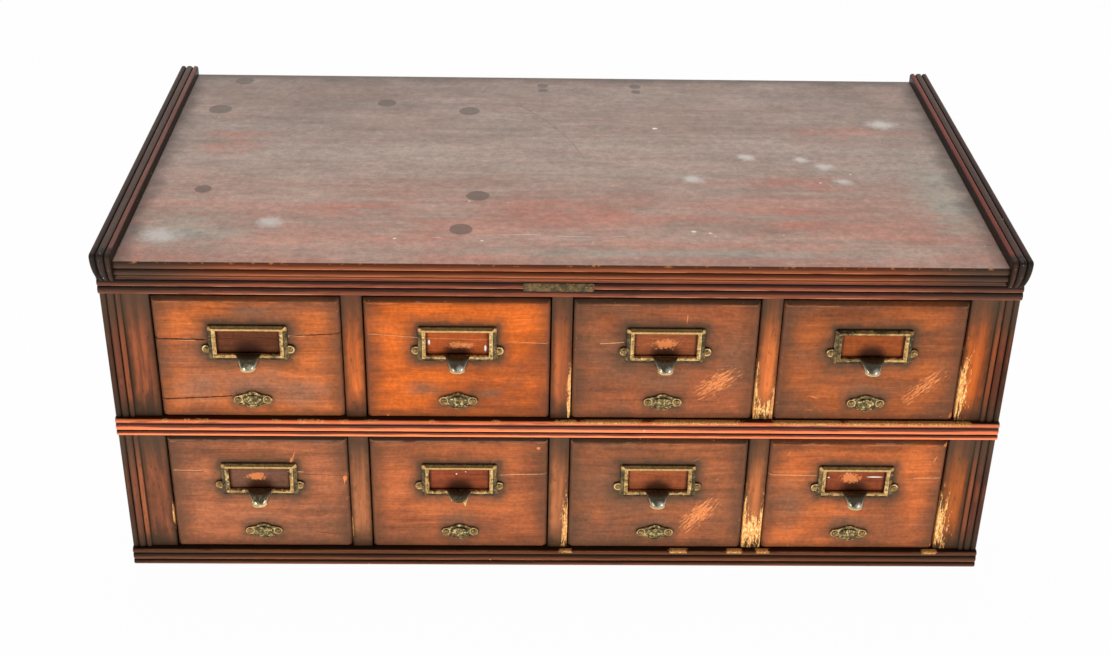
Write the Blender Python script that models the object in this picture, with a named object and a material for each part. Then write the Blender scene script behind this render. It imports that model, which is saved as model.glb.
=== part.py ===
# Table-top card-index cabinet: a reeded mahogany case with two rows of card drawers.
# Units are metres. X runs along the front, Y to the back and Z up. The front of the
# stiles' reeds is Y = 0 in the case's own frame, and the root empty moves the whole
# cabinet so that the middle of its footprint is the origin.

import bpy
import bmesh
from math import copysign, cos, pi, radians, sin, sqrt

for leftover in list(bpy.data.objects):
    bpy.data.objects.remove(leftover, do_unlink=True)

# Case
WIDTH = 0.838                # over both side boards
DEPTH = 0.440                # reeds of the stiles to the back edge
BOARD = 0.019                # thickness of every case board
FIT = 0.0003                 # gap between pieces that touch
COLUMNS = 4
OPENING_WIDTH = 0.1735
OPENING_HEIGHT = 0.1334
ROWS = ("lower", "upper")
FACE_SETBACK = 0.002         # drawer fronts and dividers behind the stiles' reeds
STILE_DEPTH = 0.020
RAIL_PROUD = 0.0045          # rails in front of the stiles' reeds
TOP_OVERHANG = 0.0125        # top board in front of the stiles' reeds
BACK_PANEL = 0.008
BACK_INSET = 0.002
GUIDE_HEIGHT = 0.018         # drawer guides planted on the side boards
END_EASE = 0.0014            # worn round-over at the ends of the rails
EASE_KNEE = 0.3              # share of it at the knee of the round-over
DIVIDER_EASE = 0.0008

# Three-reed moulding that runs on every board edge
REEDS = (0.0056, 0.0072, 0.0056)
CORNICE_REEDS = (0.0044, 0.0062, 0.0078)   # edge of the top board, from its lower face up
QUIRK = 0.0003
REED_RISE = 0.0026
REED_STEPS = 6

# End caps of the top
CAP_RISE = 0.010             # above the top board
NOSE_REACH = 0.0185          # crest of the nose in front of the stiles' reeds
NOSE_RADIUS = 0.0045
CHIN_SWEEP = 0.0105          # how far back and inwards the chin would draw in a full quarter turn
CHIN_TURN = radians(60)
CHIN_SHOULDER = 0.004        # where the drawn-in chin dies into the flat side, behind Y = 0
NOSE_STEPS = 5
CHIN_STEPS = 4

# Drawers
DRAWER_GAP = 0.0012          # each side of a drawer front
DRAWER_LIFT = 0.0006         # running clearance over the shelf
DRAWER_HEADROOM = 0.0055
FRONT_CHAMFER = 0.0036       # along the top and both ends of a front, as wide as it is deep
FRONT_FOOT_EASE = 0.0008     # the lower edge of a front is only eased
TRAY_BACK = 0.420            # back of the trays, from the stiles' reeds
TRAY_SIDE = 0.008
TRAY_FLOOR = 0.006
TRAY_FLOOR_LIFT = 0.005
TRAY_END = 0.012
TRAY_HIGH = 0.112            # side height beside the drawer front
TRAY_LOW = 0.064             # side height along the cards
SCOOP_START = 0.018
SCOOP_END = 0.085
SCOOP_STEPS = 8
HOUSING = 0.004              # how far floor and end are let into the sides
TRACK_WIDTH = 0.010          # groove for the follower's tongue
TRACK_DEPTH = 0.003

# Card followers
FOLLOWER_WIDTH = 0.146
FOLLOWER_HEIGHT = 0.092
FOLLOWER_FOOT = 0.058
FOLLOWER_BOARD = 0.010
FOLLOWER_HEEL = 0.012
FOLLOWER_LEAN = radians(12)
FOLLOWER_STEPS = 6
TONGUE_WIDTH = 0.0092
TONGUE_DEPTH = 0.0024
FOLLOWER_BACK_GAP = 0.002

# Label-holder pulls
PULL_HEIGHT = 0.0815         # middle of the frame above the shelf
FRAME_WIDTH = 0.073
FRAME_HEIGHT = 0.0368
FRAME_SIDE = 0.0075
FRAME_TOP = 0.0053
FRAME_FOOT = 0.0074
FRAME_CORNER = 0.003
FRAME_CORNER_LOSS = 0.7      # how much smaller the corner radius is at the window
FRAME_REBATE = 0.58          # share of the border that rests on the wood
CARD_SLOT = 0.0014
# Frame section: share of the border inwards, height off the wood
FRAME_SECTION = (
    (0.00, 0.0000), (0.00, 0.0012), (0.42, 0.0032), (0.60, 0.0036), (0.92, 0.0033),
    (1.00, 0.0027), (1.00, CARD_SLOT), (FRAME_REBATE, CARD_SLOT), (FRAME_REBATE, 0.0000),
)
CORNER_POINTS = 3
EAR_SPACING = 0.0768
EAR_DROP = 0.0066            # below the middle of the frame
EAR_RADIUS = 0.0046
EAR_THICKNESS = 0.0018
EAR_SIDES = 14
SCROLL_PLACE = (0.0352, -0.0128)   # small scroll that carries the ear into the frame's corner
SCROLL_RADIUS = 0.0034
SCROLL_THICKNESS = 0.0014
HOOD_WIDTH = 0.0248
HOOD_WAIST = 0.80            # width of the rim as a share of the root's
HOOD_FLARE = 3               # how close to the root the shoulders spread
HOOD_TOP = -0.0101           # from the middle of the frame
HOOD_RIM = -0.0218
HOOD_REACH = 0.0158
HOOD_ROOT = 0.0022           # inside the thickness of the frame's lower bar
HOOD_WALL = 0.0018
HOOD_COLUMNS = 10
HOOD_ROWS = 4
HOOD_SQUARENESS = 2.5

# Lozenge plates under the pulls and the bare plate on the top rail
PLATE_HEIGHT = 0.0195        # middle of the plate above the shelf
PLATE_SPACING = 0.0270       # between its two screws
PLATE_END_RADIUS = 0.0050
PLATE_PEAK = 0.0092
PLATE_PEAK_SHARPNESS = 2.5   # how steeply the shoulders fall from the peak to the round ends
PLATE_THICKNESS = 0.0016
PLATE_EDGE = 0.6             # share of the thickness below its sloped rim
# Raised rim: outline size and share of the thickness, from its crest into the sunk field
PLATE_RIM = ((0.95, 1.0), (0.88, 1.0), (0.84, 0.65))
PLATE_END_SPREAD = 0.75      # below 1 it brings more points to the round ends
PLATE_END_SQUARENESS = 6
PLATE_BOSS = (0.0088, 0.0054)
PLATE_BOSS_RISE = 0.0008
PLATE_BOSS_TOP = 0.86
PLATE_POINTS = 28
NAME_SIZE = (0.0646, 0.0092)
NAME_THICKNESS = 0.0009
NAME_CORNER = 0.0015
NAME_OFFSET = -0.004
NAME_SEAT = 0.0008           # depth of the flat cut into the rail's crest

# Levels and places worked out from the sizes above
HALF = WIDTH / 2
PITCH = OPENING_WIDTH + BOARD
STILE_WIDTH = (WIDTH - COLUMNS * OPENING_WIDTH - (COLUMNS - 1) * BOARD) / 2
STOREY = OPENING_HEIGHT + BOARD
CASE_HEIGHT = len(ROWS) * STOREY + BOARD
TOP_SURFACE = CASE_HEIGHT + BOARD
CAP_TOP = TOP_SURFACE + CAP_RISE
BACK_FACE = DEPTH - BACK_INSET - BACK_PANEL
INNER_HALF = HALF - BOARD
SEAT = FIT / 2
MIDDLE_Y = (DEPTH - NOSE_REACH) / 2
FRONT_WIDTH = OPENING_WIDTH - 2 * DRAWER_GAP
FRONT_TOP = OPENING_HEIGHT - DRAWER_HEADROOM
TRAY_FRONT = BOARD + FIT                    # from the drawer's face
TRAY_REAR = TRAY_BACK - FACE_SETBACK
FLOOR_TOP = DRAWER_LIFT + TRAY_FLOOR_LIFT + TRAY_FLOOR

# Finishes: colour, roughness and metallic value
FINISHES = {
    "case_mahogany": ((0.120, 0.036, 0.018), 0.38, 0.0),
    "top_mahogany": ((0.150, 0.078, 0.062), 0.45, 0.0),
    "drawer_mahogany": ((0.320, 0.095, 0.026), 0.36, 0.0),
    "tray_wood": ((0.480, 0.300, 0.150), 0.62, 0.0),
    "back_wood": ((0.240, 0.130, 0.065), 0.65, 0.0),
    "aged_brass": ((0.400, 0.260, 0.080), 0.36, 1.0),
}


def make_material(name):
    colour, roughness, metallic = FINISHES[name]
    material = bpy.data.materials.new(name)
    material.use_nodes = True
    shader = material.node_tree.nodes["Principled BSDF"]
    shader.inputs["Base Color"].default_value = (*colour, 1.0)
    shader.inputs["Roughness"].default_value = roughness
    shader.inputs["Metallic"].default_value = metallic
    return material


MATERIALS = {name: make_material(name) for name in FINISHES}


# Mesh helpers
def closed_mesh(name, points, faces):
    shape = bmesh.new()
    corners = [shape.verts.new(point) for point in points]
    for face in faces:
        shape.faces.new([corners[index] for index in face])
    bmesh.ops.recalc_face_normals(shape, faces=shape.faces)
    mesh = bpy.data.meshes.new(name)
    shape.to_mesh(mesh)
    shape.free()
    return mesh


def loft(name, sections):
    """Closed solid through sections of equal length, with flat ends."""
    count = len(sections[0])
    points = [point for section in sections for point in section]
    faces = [list(range(count)), list(range(len(points) - count, len(points)))]
    for station in range(len(sections) - 1):
        near = station * count
        far = near + count
        for index in range(count):
            after = (index + 1) % count
            faces.append((near + index, near + after, far + after, far + index))
    return closed_mesh(name, points, faces)


def prism(name, outline, axis, start, end):
    """Solid with a flat outline, drawn out along one axis."""
    def section(level):
        if axis == "X":
            return [(level, a, b) for a, b in outline]
        if axis == "Y":
            return [(a, level, b) for a, b in outline]
        return [(a, b, level) for a, b in outline]
    return loft(name, [section(start), section(end)])


def block(name, low, high):
    outline = [(low[0], low[1]), (high[0], low[1]), (high[0], high[1]), (low[0], high[1])]
    return prism(name, outline, "Z", low[2], high[2])


def combine(mesh, operation, tools):
    """Mesh after boolean steps with other meshes, which are used up."""
    body = bpy.data.objects.new("body", mesh)
    bpy.context.collection.objects.link(body)
    helpers = []
    for tool in tools:
        helper = bpy.data.objects.new("tool", tool)
        bpy.context.collection.objects.link(helper)
        step = body.modifiers.new("step", "BOOLEAN")
        step.operation = operation
        step.solver = "EXACT"
        step.object = helper
        helpers.append(helper)
    graph = bpy.context.evaluated_depsgraph_get()
    result = bpy.data.meshes.new_from_object(body.evaluated_get(graph))
    result.name = mesh.name
    for helper in (body, *helpers):
        bpy.data.objects.remove(helper, do_unlink=True)
    return result


def smooth(mesh, angle=32):
    mesh.shade_smooth()
    mesh.set_sharp_from_angle(angle=radians(angle))
    return mesh


def place(name, mesh, finish, parent, location=(0, 0, 0)):
    piece = bpy.data.objects.new(name, mesh)
    bpy.context.collection.objects.link(piece)
    if not mesh.materials:
        mesh.materials.append(MATERIALS[finish])
    piece.parent = parent
    piece.location = location
    return piece


def empty(name, parent, location):
    marker = bpy.data.objects.new(name, None)
    bpy.context.collection.objects.link(marker)
    marker.parent = parent
    marker.location = location
    return marker


# Three-reed edge: distance across the board and rise of the reed
def reed_profile(reeds):
    points = []
    start = 0.0
    for width in reeds:
        half = width / 2
        for step in range(REED_STEPS + 1):
            turn = pi * step / REED_STEPS
            points.append((start + half - half * cos(turn), REED_RISE * sin(turn)))
        start += width + QUIRK
    # The outline ends exactly on the board's two faces
    points[-1] = (BOARD, 0.0)
    return points


PROFILE = reed_profile(REEDS)
CORNICE = reed_profile(CORNICE_REEDS)


def edge_section(profile, x, front, back, bottom, thickness, ease):
    """Section of a board whose front edge is reeded, pulled back by ease."""
    share = thickness / BOARD
    reeds = [(x, front + REED_RISE - rise + ease, bottom + across * share)
             for across, rise in profile]
    return [(x, back, bottom), *reeds, (x, back, bottom + thickness)]


def edge_board(name, profile, half, front, back, bottom, top, eased):
    stations = [(half, 0.0)]
    if eased:
        knee = EASE_KNEE * END_EASE
        stations = [(half, END_EASE), (half - knee, knee), (half - END_EASE, 0.0)]
    stations = [(-x, ease) for x, ease in stations] + stations[::-1]
    thickness = top - bottom
    return loft(name, [edge_section(profile, x, front, back, bottom, thickness, ease)
                       for x, ease in stations])


# Horizontal boards of the case and the top board
def base_board(root):
    mesh = edge_board("base_board", PROFILE, HALF, -RAIL_PROUD, DEPTH, 0.0, BOARD - SEAT, True)
    place("base_board", smooth(mesh), "case_mahogany", root)


def side_notches():
    """Room for the side boards behind the stiles, on both ends of a shelf."""
    near = INNER_HALF - FIT
    far = HALF + BOARD
    return [block("notch", (left, STILE_DEPTH, 0.0), (right, DEPTH, TOP_SURFACE))
            for left, right in ((-far, -near), (near, far))]


def shelf_board(name, level, root, extra_cuts=()):
    mesh = edge_board(name, PROFILE, HALF, -RAIL_PROUD, BACK_FACE - FIT,
                      level + SEAT, level + BOARD - SEAT, True)
    mesh = combine(mesh, "DIFFERENCE", [*side_notches(), *extra_cuts])
    place(name, smooth(mesh), "case_mahogany", root)


def name_plate_level():
    return CASE_HEIGHT - BOARD / 2


def name_seat():
    """Flat on the crest of the top rail's middle reed, where the plate is pinned."""
    half = NAME_SIZE[0] / 2
    level = name_plate_level()
    return block("seat", (NAME_OFFSET - half, -RAIL_PROUD - BOARD, level - NAME_SIZE[1] / 2),
                 (NAME_OFFSET + half, -RAIL_PROUD + NAME_SEAT, level + NAME_SIZE[1] / 2))


def name_plate(root):
    half_width = NAME_SIZE[0] / 2 - FIT
    half_height = NAME_SIZE[1] / 2 - FIT
    outline = corner_loop(-half_width, half_width, -half_height, half_height, NAME_CORNER)
    mesh = prism("name_plate", outline, "Y", 0.0, -NAME_THICKNESS)
    seat_face = -RAIL_PROUD + NAME_SEAT - FIT
    place("name_plate", mesh, "aged_brass", root, (NAME_OFFSET, seat_face, name_plate_level()))


def top_board(root):
    mesh = edge_board("top_board", CORNICE, INNER_HALF - SEAT, -TOP_OVERHANG, DEPTH,
                      CASE_HEIGHT + SEAT, TOP_SURFACE, False)
    place("top_board", smooth(mesh), "top_mahogany", root)


# End caps: the same reeds run along the top, over the nose and down its chin
def cap_path():
    """Places at the foot of the reeds as (y, z, outward y, outward z, draw of the outer side)."""
    crown = CAP_TOP - REED_RISE
    front = -NOSE_REACH + REED_RISE
    nose = (front + NOSE_RADIUS, crown - NOSE_RADIUS)
    drop = (nose[1] - CASE_HEIGHT - SEAT) / sin(CHIN_TURN)
    path = [(DEPTH, crown, 0.0, 1.0, 0.0)]
    for step in range(NOSE_STEPS + 1):
        turn = pi / 2 * step / NOSE_STEPS
        path.append((nose[0] - NOSE_RADIUS * sin(turn), nose[1] + NOSE_RADIUS * cos(turn),
                     -sin(turn), cos(turn), 0.0))
    for step in range(1, CHIN_STEPS):
        turn = CHIN_TURN * step / CHIN_STEPS
        draw = CHIN_SWEEP * (1 - cos(turn))
        ahead, down = cos(turn) / CHIN_SWEEP, sin(turn) / drop
        length = sqrt(ahead ** 2 + down ** 2)
        path.append((front + draw, nose[1] - drop * sin(turn), -ahead / length, -down / length, draw))
    # The chin is cut level where it meets the case
    draw = CHIN_SWEEP * (1 - cos(CHIN_TURN))
    path.append((front + draw, CASE_HEIGHT + SEAT, -1.0, 0.0, draw))
    return path


def end_cap(name, side, root):
    path = cap_path()
    across = len(PROFILE)
    points = []
    for y, z, out_y, out_z, draw in path:
        for distance, rise in PROFILE:
            x = HALF - distance - draw * (1 - distance / BOARD)
            points.append((side * x, y + rise * out_y, z + rise * out_z))
    heel = len(points)
    points += [(side * x, DEPTH, CASE_HEIGHT + SEAT) for x in (HALF, INNER_HALF)]
    shoulder = len(points)
    points.append((side * HALF, CHIN_SHOULDER, CASE_HEIGHT + SEAT))
    faces = []
    for station in range(len(path) - 1):
        for index in range(across - 1):
            near = station * across + index
            faces.append((near, near + 1, near + across + 1, near + across))
    last = (len(path) - 1) * across
    outer = [station * across for station in range(len(path))]
    inner = [station * across + across - 1 for station in range(len(path))]
    chin = NOSE_STEPS + 1
    faces.append([*outer[:chin + 1], shoulder, heel])
    faces += [(near, far, shoulder) for near, far in zip(outer[chin:], outer[chin + 1:])]
    faces.append([*inner, heel + 1])
    faces.append([*range(across), heel + 1, heel])
    faces.append([*range(last, last + across), heel + 1, heel, shoulder])
    place(name, smooth(closed_mesh(name, points, faces)), "case_mahogany", root)


# Uprights
def side_board(name, side, root):
    """Side board with one drawer guide planted on its inner face for each row."""
    guide_face = HALF - STILE_WIDTH
    section = [(HALF, BOARD + SEAT), (HALF, CASE_HEIGHT - SEAT), (INNER_HALF, CASE_HEIGHT - SEAT)]
    for row in reversed(range(len(ROWS))):
        foot = BOARD + row * STOREY + SEAT
        crest = foot + GUIDE_HEIGHT
        section += [(INNER_HALF, crest), (guide_face, crest), (guide_face, foot)]
        if row:
            section.append((INNER_HALF, foot))
    section = [(side * x, z) for x, z in section]
    mesh = prism(name, section, "Y", STILE_DEPTH + FIT, DEPTH)
    rebate = block("rebate", (-INNER_HALF, BACK_FACE - FIT, 0.0),
                   (INNER_HALF, DEPTH + BOARD, TOP_SURFACE))
    place(name, combine(mesh, "DIFFERENCE", [rebate]), "case_mahogany", root)


def stile(name, side, row, root):
    """Reeded outer edge beside a flat that stands level with the dividers."""
    plan = [(HALF, STILE_DEPTH)]
    plan += [(HALF - distance, REED_RISE - rise) for distance, rise in PROFILE]
    plan += [(INNER_HALF, FACE_SETBACK), (HALF - STILE_WIDTH, FACE_SETBACK),
             (HALF - STILE_WIDTH, STILE_DEPTH)]
    plan = [(side * x, y) for x, y in plan]
    foot = BOARD + row * STOREY
    mesh = prism(name, plan, "Z", foot + SEAT, foot + OPENING_HEIGHT - SEAT)
    place(name, smooth(mesh), "case_mahogany", root)


def divider(name, x, row, root):
    half = BOARD / 2
    plan = [(-half, BACK_FACE - FIT), (-half, FACE_SETBACK + DIVIDER_EASE),
            (-half + DIVIDER_EASE, FACE_SETBACK), (half - DIVIDER_EASE, FACE_SETBACK),
            (half, FACE_SETBACK + DIVIDER_EASE), (half, BACK_FACE - FIT)]
    mesh = prism(name, plan, "Z", SEAT, OPENING_HEIGHT - SEAT)
    place(name, mesh, "case_mahogany", root, (x, 0.0, BOARD + row * STOREY))


def back_panel(root):
    mesh = block("back_panel", (-INNER_HALF + FIT, BACK_FACE, BOARD + SEAT),
                 (INNER_HALF - FIT, BACK_FACE + BACK_PANEL, CASE_HEIGHT - SEAT))
    place("back_panel", mesh, "back_wood", root)


# Drawer pieces, drawn with the middle of the drawer's face at X = 0, Y = 0 and the shelf at Z = 0
def front_section(y, inset, foot_inset):
    half = FRONT_WIDTH / 2 - inset
    bottom = DRAWER_LIFT + foot_inset
    top = FRONT_TOP - inset
    return [(-half, y, bottom), (half, y, bottom), (half, y, top), (-half, y, top)]


def front_mesh():
    """Board chamfered round its face, except along the foot."""
    return loft("drawer_front", [front_section(BOARD, 0.0, 0.0),
                                 front_section(FRONT_CHAMFER, 0.0, 0.0),
                                 front_section(0.0, FRONT_CHAMFER, FRONT_FOOT_EASE)])


def tray_side_outline():
    outline = [(TRAY_FRONT, DRAWER_LIFT), (TRAY_REAR, DRAWER_LIFT), (TRAY_REAR, TRAY_LOW)]
    for step in range(SCOOP_STEPS + 1):
        share = step / SCOOP_STEPS
        y = TRAY_FRONT + SCOOP_END + share * (SCOOP_START - SCOOP_END)
        outline.append((y, TRAY_LOW + (TRAY_HIGH - TRAY_LOW) * (1 - cos(pi * share)) / 2))
    outline.append((TRAY_FRONT, TRAY_HIGH))
    return outline


def tray_mesh():
    """Two scooped sides, a grooved floor let into them, and an end board."""
    half = FRONT_WIDTH / 2
    inner = half - TRAY_SIDE
    floor_low = DRAWER_LIFT + TRAY_FLOOR_LIFT
    mesh = prism("drawer_tray", tray_side_outline(), "X", -half, -inner)
    other = prism("side", tray_side_outline(), "X", inner, half)
    let_in = inner + HOUSING
    floor = block("floor", (-let_in, TRAY_FRONT + FIT, floor_low),
                  (let_in, TRAY_REAR - FIT, FLOOR_TOP))
    end = block("end", (-let_in, TRAY_REAR - TRAY_END, floor_low + TRAY_FLOOR / 2),
                (let_in, TRAY_REAR - FIT, TRAY_LOW - FIT))
    mesh = combine(mesh, "UNION", [floor, other, end])
    track = block("track", (-TRACK_WIDTH / 2, TRAY_FRONT - FIT, FLOOR_TOP - TRACK_DEPTH),
                  (TRACK_WIDTH / 2, TRAY_REAR - TRAY_END, FLOOR_TOP + TRACK_DEPTH))
    return combine(mesh, "DIFFERENCE", [track])


def follower_mesh():
    """Leaning back rest for the cards on a foot with a tongue, its heel at Y = 0."""
    lean = FOLLOWER_HEIGHT * sin(FOLLOWER_LEAN) / cos(FOLLOWER_LEAN)
    front = -FOLLOWER_FOOT
    outline = [(0.0, 0.0), (0.0, FOLLOWER_HEEL)]
    # The back sweeps from the heel up into the leaning board
    spread = -(front + lean + FOLLOWER_BOARD)
    rise = FOLLOWER_HEIGHT - FOLLOWER_HEEL
    for step in range(1, FOLLOWER_STEPS + 1):
        turn = pi / 2 * step / FOLLOWER_STEPS
        outline.append((-spread * sin(turn), FOLLOWER_HEEL + rise * (1 - cos(turn))))
    outline += [(front + lean, FOLLOWER_HEIGHT), (front, 0.0)]
    mesh = prism("card_follower", outline, "X", -FOLLOWER_WIDTH / 2, FOLLOWER_WIDTH / 2)
    tongue = block("tongue", (-TONGUE_WIDTH / 2, front + FIT, -TONGUE_DEPTH),
                   (TONGUE_WIDTH / 2, -FIT, FOLLOWER_HEEL / 2))
    return smooth(combine(mesh, "UNION", [tongue]))


# Brass label holder with a hooded finger pull, drawn round the middle of its frame
def corner_loop(left, right, bottom, top, radius):
    """Rectangle with round corners, as points in X and Z."""
    loop = []
    centres = ((right - radius, top - radius), (left + radius, top - radius),
               (left + radius, bottom + radius), (right - radius, bottom + radius))
    for quarter, (x, z) in enumerate(centres):
        for step in range(CORNER_POINTS):
            turn = pi / 2 * (quarter + step / (CORNER_POINTS - 1))
            loop.append((x + radius * cos(turn), z + radius * sin(turn)))
    return loop


def frame_mesh():
    """Moulded frame round the label window, with a rebate behind it for the card."""
    loops = []
    for share, off in FRAME_SECTION:
        right = FRAME_WIDTH / 2 - share * FRAME_SIDE
        bottom = -FRAME_HEIGHT / 2 + share * FRAME_FOOT
        top = FRAME_HEIGHT / 2 - share * FRAME_TOP
        loop = corner_loop(-right, right, bottom, top, FRAME_CORNER * (1 - FRAME_CORNER_LOSS * share))
        loops.append([(x, -off, z) for x, z in loop])
    count = len(loops[0])
    points = [point for loop in loops for point in loop]
    faces = []
    for ring in range(len(loops)):
        near = ring * count
        far = (ring + 1) % len(loops) * count
        for index in range(count):
            after = (index + 1) % count
            faces.append((near + index, near + after, far + after, far + index))
    return closed_mesh("label_pull", points, faces)


def disc(x, z, radius, thickness):
    turns = [2 * pi * step / EAR_SIDES for step in range(EAR_SIDES)]
    outline = [(x + radius * cos(turn), z + radius * sin(turn)) for turn in turns]
    return prism("disc", outline, "Y", 0.0, -thickness)


def ears():
    """Screw ear on each side of the frame, with the scroll below it."""
    discs = []
    for side in (-1, 1):
        discs.append(disc(side * EAR_SPACING / 2, -EAR_DROP, EAR_RADIUS, EAR_THICKNESS))
        discs.append(disc(side * SCROLL_PLACE[0], SCROLL_PLACE[1], SCROLL_RADIUS, SCROLL_THICKNESS))
    return discs


def hood(half, reach, top, rim, root):
    """Quarter-round hood: straight root, shoulders that draw in below it, U-shaped rim."""
    points = []
    for row in range(HOOD_ROWS + 1):
        turn = pi / 2 * row / HOOD_ROWS
        width = half * (HOOD_WAIST + (1 - HOOD_WAIST) * cos(turn) ** HOOD_FLARE)
        for column in range(HOOD_COLUMNS + 1):
            slant = cos(pi * column / HOOD_COLUMNS)
            depth = reach * sqrt(max(0.0, 1 - abs(slant) ** HOOD_SQUARENESS))
            points.append((-width * slant, -root - depth * sin(turn), rim + (top - rim) * cos(turn)))
    wide = HOOD_COLUMNS + 1
    faces = []
    for row in range(HOOD_ROWS):
        for column in range(HOOD_COLUMNS):
            near = row * wide + column
            faces.append((near, near + 1, near + wide + 1, near + wide))
    left = [row * wide for row in range(HOOD_ROWS + 1)]
    right = [row * wide + HOOD_COLUMNS for row in range(HOOD_ROWS + 1)]
    last = HOOD_ROWS * wide
    faces.append([*range(wide), *right[1:], *reversed(left[1:])])
    faces.append(list(range(last, last + wide)))
    return closed_mesh("hood", points, faces)


def pull_mesh():
    window_top = FRAME_HEIGHT / 2 - FRAME_TOP
    slot_half = FRAME_WIDTH / 2 - FRAME_SIDE
    slot = block("slot", (-slot_half, FIT - CARD_SLOT, window_top - CARD_SLOT),
                 (slot_half, CARD_SLOT, FRAME_HEIGHT))
    mesh = combine(frame_mesh(), "DIFFERENCE", [slot])
    shell = hood(HOOD_WIDTH / 2, HOOD_REACH, HOOD_TOP, HOOD_RIM, HOOD_ROOT)
    mesh = combine(mesh, "UNION", [*ears(), shell])
    hollow = hood(HOOD_WIDTH / 2 - HOOD_WALL, HOOD_REACH - HOOD_WALL - FIT,
                  HOOD_TOP - HOOD_WALL, HOOD_RIM - HOOD_WALL, HOOD_ROOT + FIT)
    return smooth(combine(mesh, "DIFFERENCE", [hollow]))


# Lozenge plate: round ends over the screws, rising to a soft peak in the middle
def plate_outline(shrink):
    points = []
    reach = PLATE_SPACING / 2 + PLATE_END_RADIUS
    for step in range(PLATE_POINTS):
        turn = 2 * pi * step / PLATE_POINTS
        x = reach * copysign(abs(cos(turn)) ** PLATE_END_SPREAD, cos(turn))
        middle = ((1 + cos(pi * x / reach)) / 2) ** PLATE_PEAK_SHARPNESS
        end = sqrt(max(0.0, 1 - (x / reach) ** PLATE_END_SQUARENESS))
        height = (PLATE_END_RADIUS + (PLATE_PEAK - PLATE_END_RADIUS) * middle) * end
        points.append((x * shrink, copysign(height, sin(turn)) * shrink))
    return points


def plate_mesh():
    turns = [2 * pi * step / PLATE_POINTS for step in range(PLATE_POINTS)]
    boss = [(PLATE_BOSS[0] * cos(turn), PLATE_BOSS[1] * sin(turn)) for turn in turns]
    top = -PLATE_THICKNESS - PLATE_BOSS_RISE
    sections = []
    for size, share in ((1.0, 0.0), (1.0, PLATE_EDGE), *PLATE_RIM):
        sections.append([(x, -share * PLATE_THICKNESS, z) for x, z in plate_outline(size)])
    field = -PLATE_RIM[-1][1] * PLATE_THICKNESS
    sections.append([(x, field, z) for x, z in boss])
    sections.append([(PLATE_BOSS_TOP * x, top, PLATE_BOSS_TOP * z) for x, z in boss])
    return smooth(loft("lozenge_plate", sections))


def build_drawers(root):
    front = front_mesh()
    tray = tray_mesh()
    follower = follower_mesh()
    pull = pull_mesh()
    plate = plate_mesh()
    follower_y = TRAY_REAR - TRAY_END - FOLLOWER_BACK_GAP
    for row, row_name in enumerate(ROWS):
        for column in range(COLUMNS):
            name = f"{row_name}_drawer_{column + 1}"
            x = (column - (COLUMNS - 1) / 2) * PITCH
            slide = empty(f"{name}_slide", root, (x, FACE_SETBACK, BOARD + row * STOREY))
            place(f"{name}_front", front, "drawer_mahogany", slide)
            place(f"{name}_tray", tray, "tray_wood", slide)
            place(f"{name}_pull", pull, "aged_brass", slide, (0, -FIT, PULL_HEIGHT))
            place(f"{name}_plate", plate, "aged_brass", slide, (0, -FIT, PLATE_HEIGHT))
            place(f"{name}_follower", follower, "tray_wood", slide, (0, follower_y, FLOOR_TOP + FIT))


def build_case(root):
    base_board(root)
    shelf_board("middle_shelf", STOREY, root)
    shelf_board("upper_board", CASE_HEIGHT - BOARD, root, [name_seat()])
    name_plate(root)
    top_board(root)
    back_panel(root)
    for side_name, side in (("left", -1), ("right", 1)):
        side_board(f"{side_name}_side", side, root)
        end_cap(f"{side_name}_cap", side, root)
        for row, row_name in enumerate(ROWS):
            stile(f"{row_name}_{side_name}_stile", side, row, root)
    for row, row_name in enumerate(ROWS):
        for gap in range(1, COLUMNS):
            divider(f"{row_name}_divider_{gap}", (gap - COLUMNS / 2) * PITCH, row, root)


cabinet = empty("cabinet", None, (0.0, -MIDDLE_Y, 0.0))
build_case(cabinet)
build_drawers(cabinet)
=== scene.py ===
import bpy
import bmesh
from math import copysign, cos, pi, radians, sin, sqrt
from mathutils import Matrix, Vector, noise


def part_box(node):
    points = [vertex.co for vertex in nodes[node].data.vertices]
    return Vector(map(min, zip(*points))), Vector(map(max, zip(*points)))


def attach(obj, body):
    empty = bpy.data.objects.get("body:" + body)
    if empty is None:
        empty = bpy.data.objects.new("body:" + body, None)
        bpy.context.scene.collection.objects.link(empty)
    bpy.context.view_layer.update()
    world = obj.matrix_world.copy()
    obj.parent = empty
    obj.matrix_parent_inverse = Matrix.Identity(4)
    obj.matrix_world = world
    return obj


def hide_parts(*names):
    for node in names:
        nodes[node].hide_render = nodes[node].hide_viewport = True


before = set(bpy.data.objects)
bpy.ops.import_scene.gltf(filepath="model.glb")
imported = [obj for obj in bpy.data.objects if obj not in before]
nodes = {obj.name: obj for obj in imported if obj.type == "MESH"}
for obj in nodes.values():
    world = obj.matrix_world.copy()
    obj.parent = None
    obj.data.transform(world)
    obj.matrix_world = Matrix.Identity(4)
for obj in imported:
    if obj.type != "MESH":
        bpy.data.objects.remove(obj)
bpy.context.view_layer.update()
drawerNames = [f"{row}_drawer_{place}" for row in ("lower", "upper") for place in (1, 2, 3, 4)]
print("frame loaded:", len(nodes), "nodes")

# Camera at the viewing angle of the photograph
cameraSettings = {
    "place": (-0.0408, -1.52805, 1.0289),
    "yaw": radians(1.509),
    "pitch": radians(29.897),
    "roll": radians(-1.167),
    "lens": 53.67,
    "sensor": 36.0,
}


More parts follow.
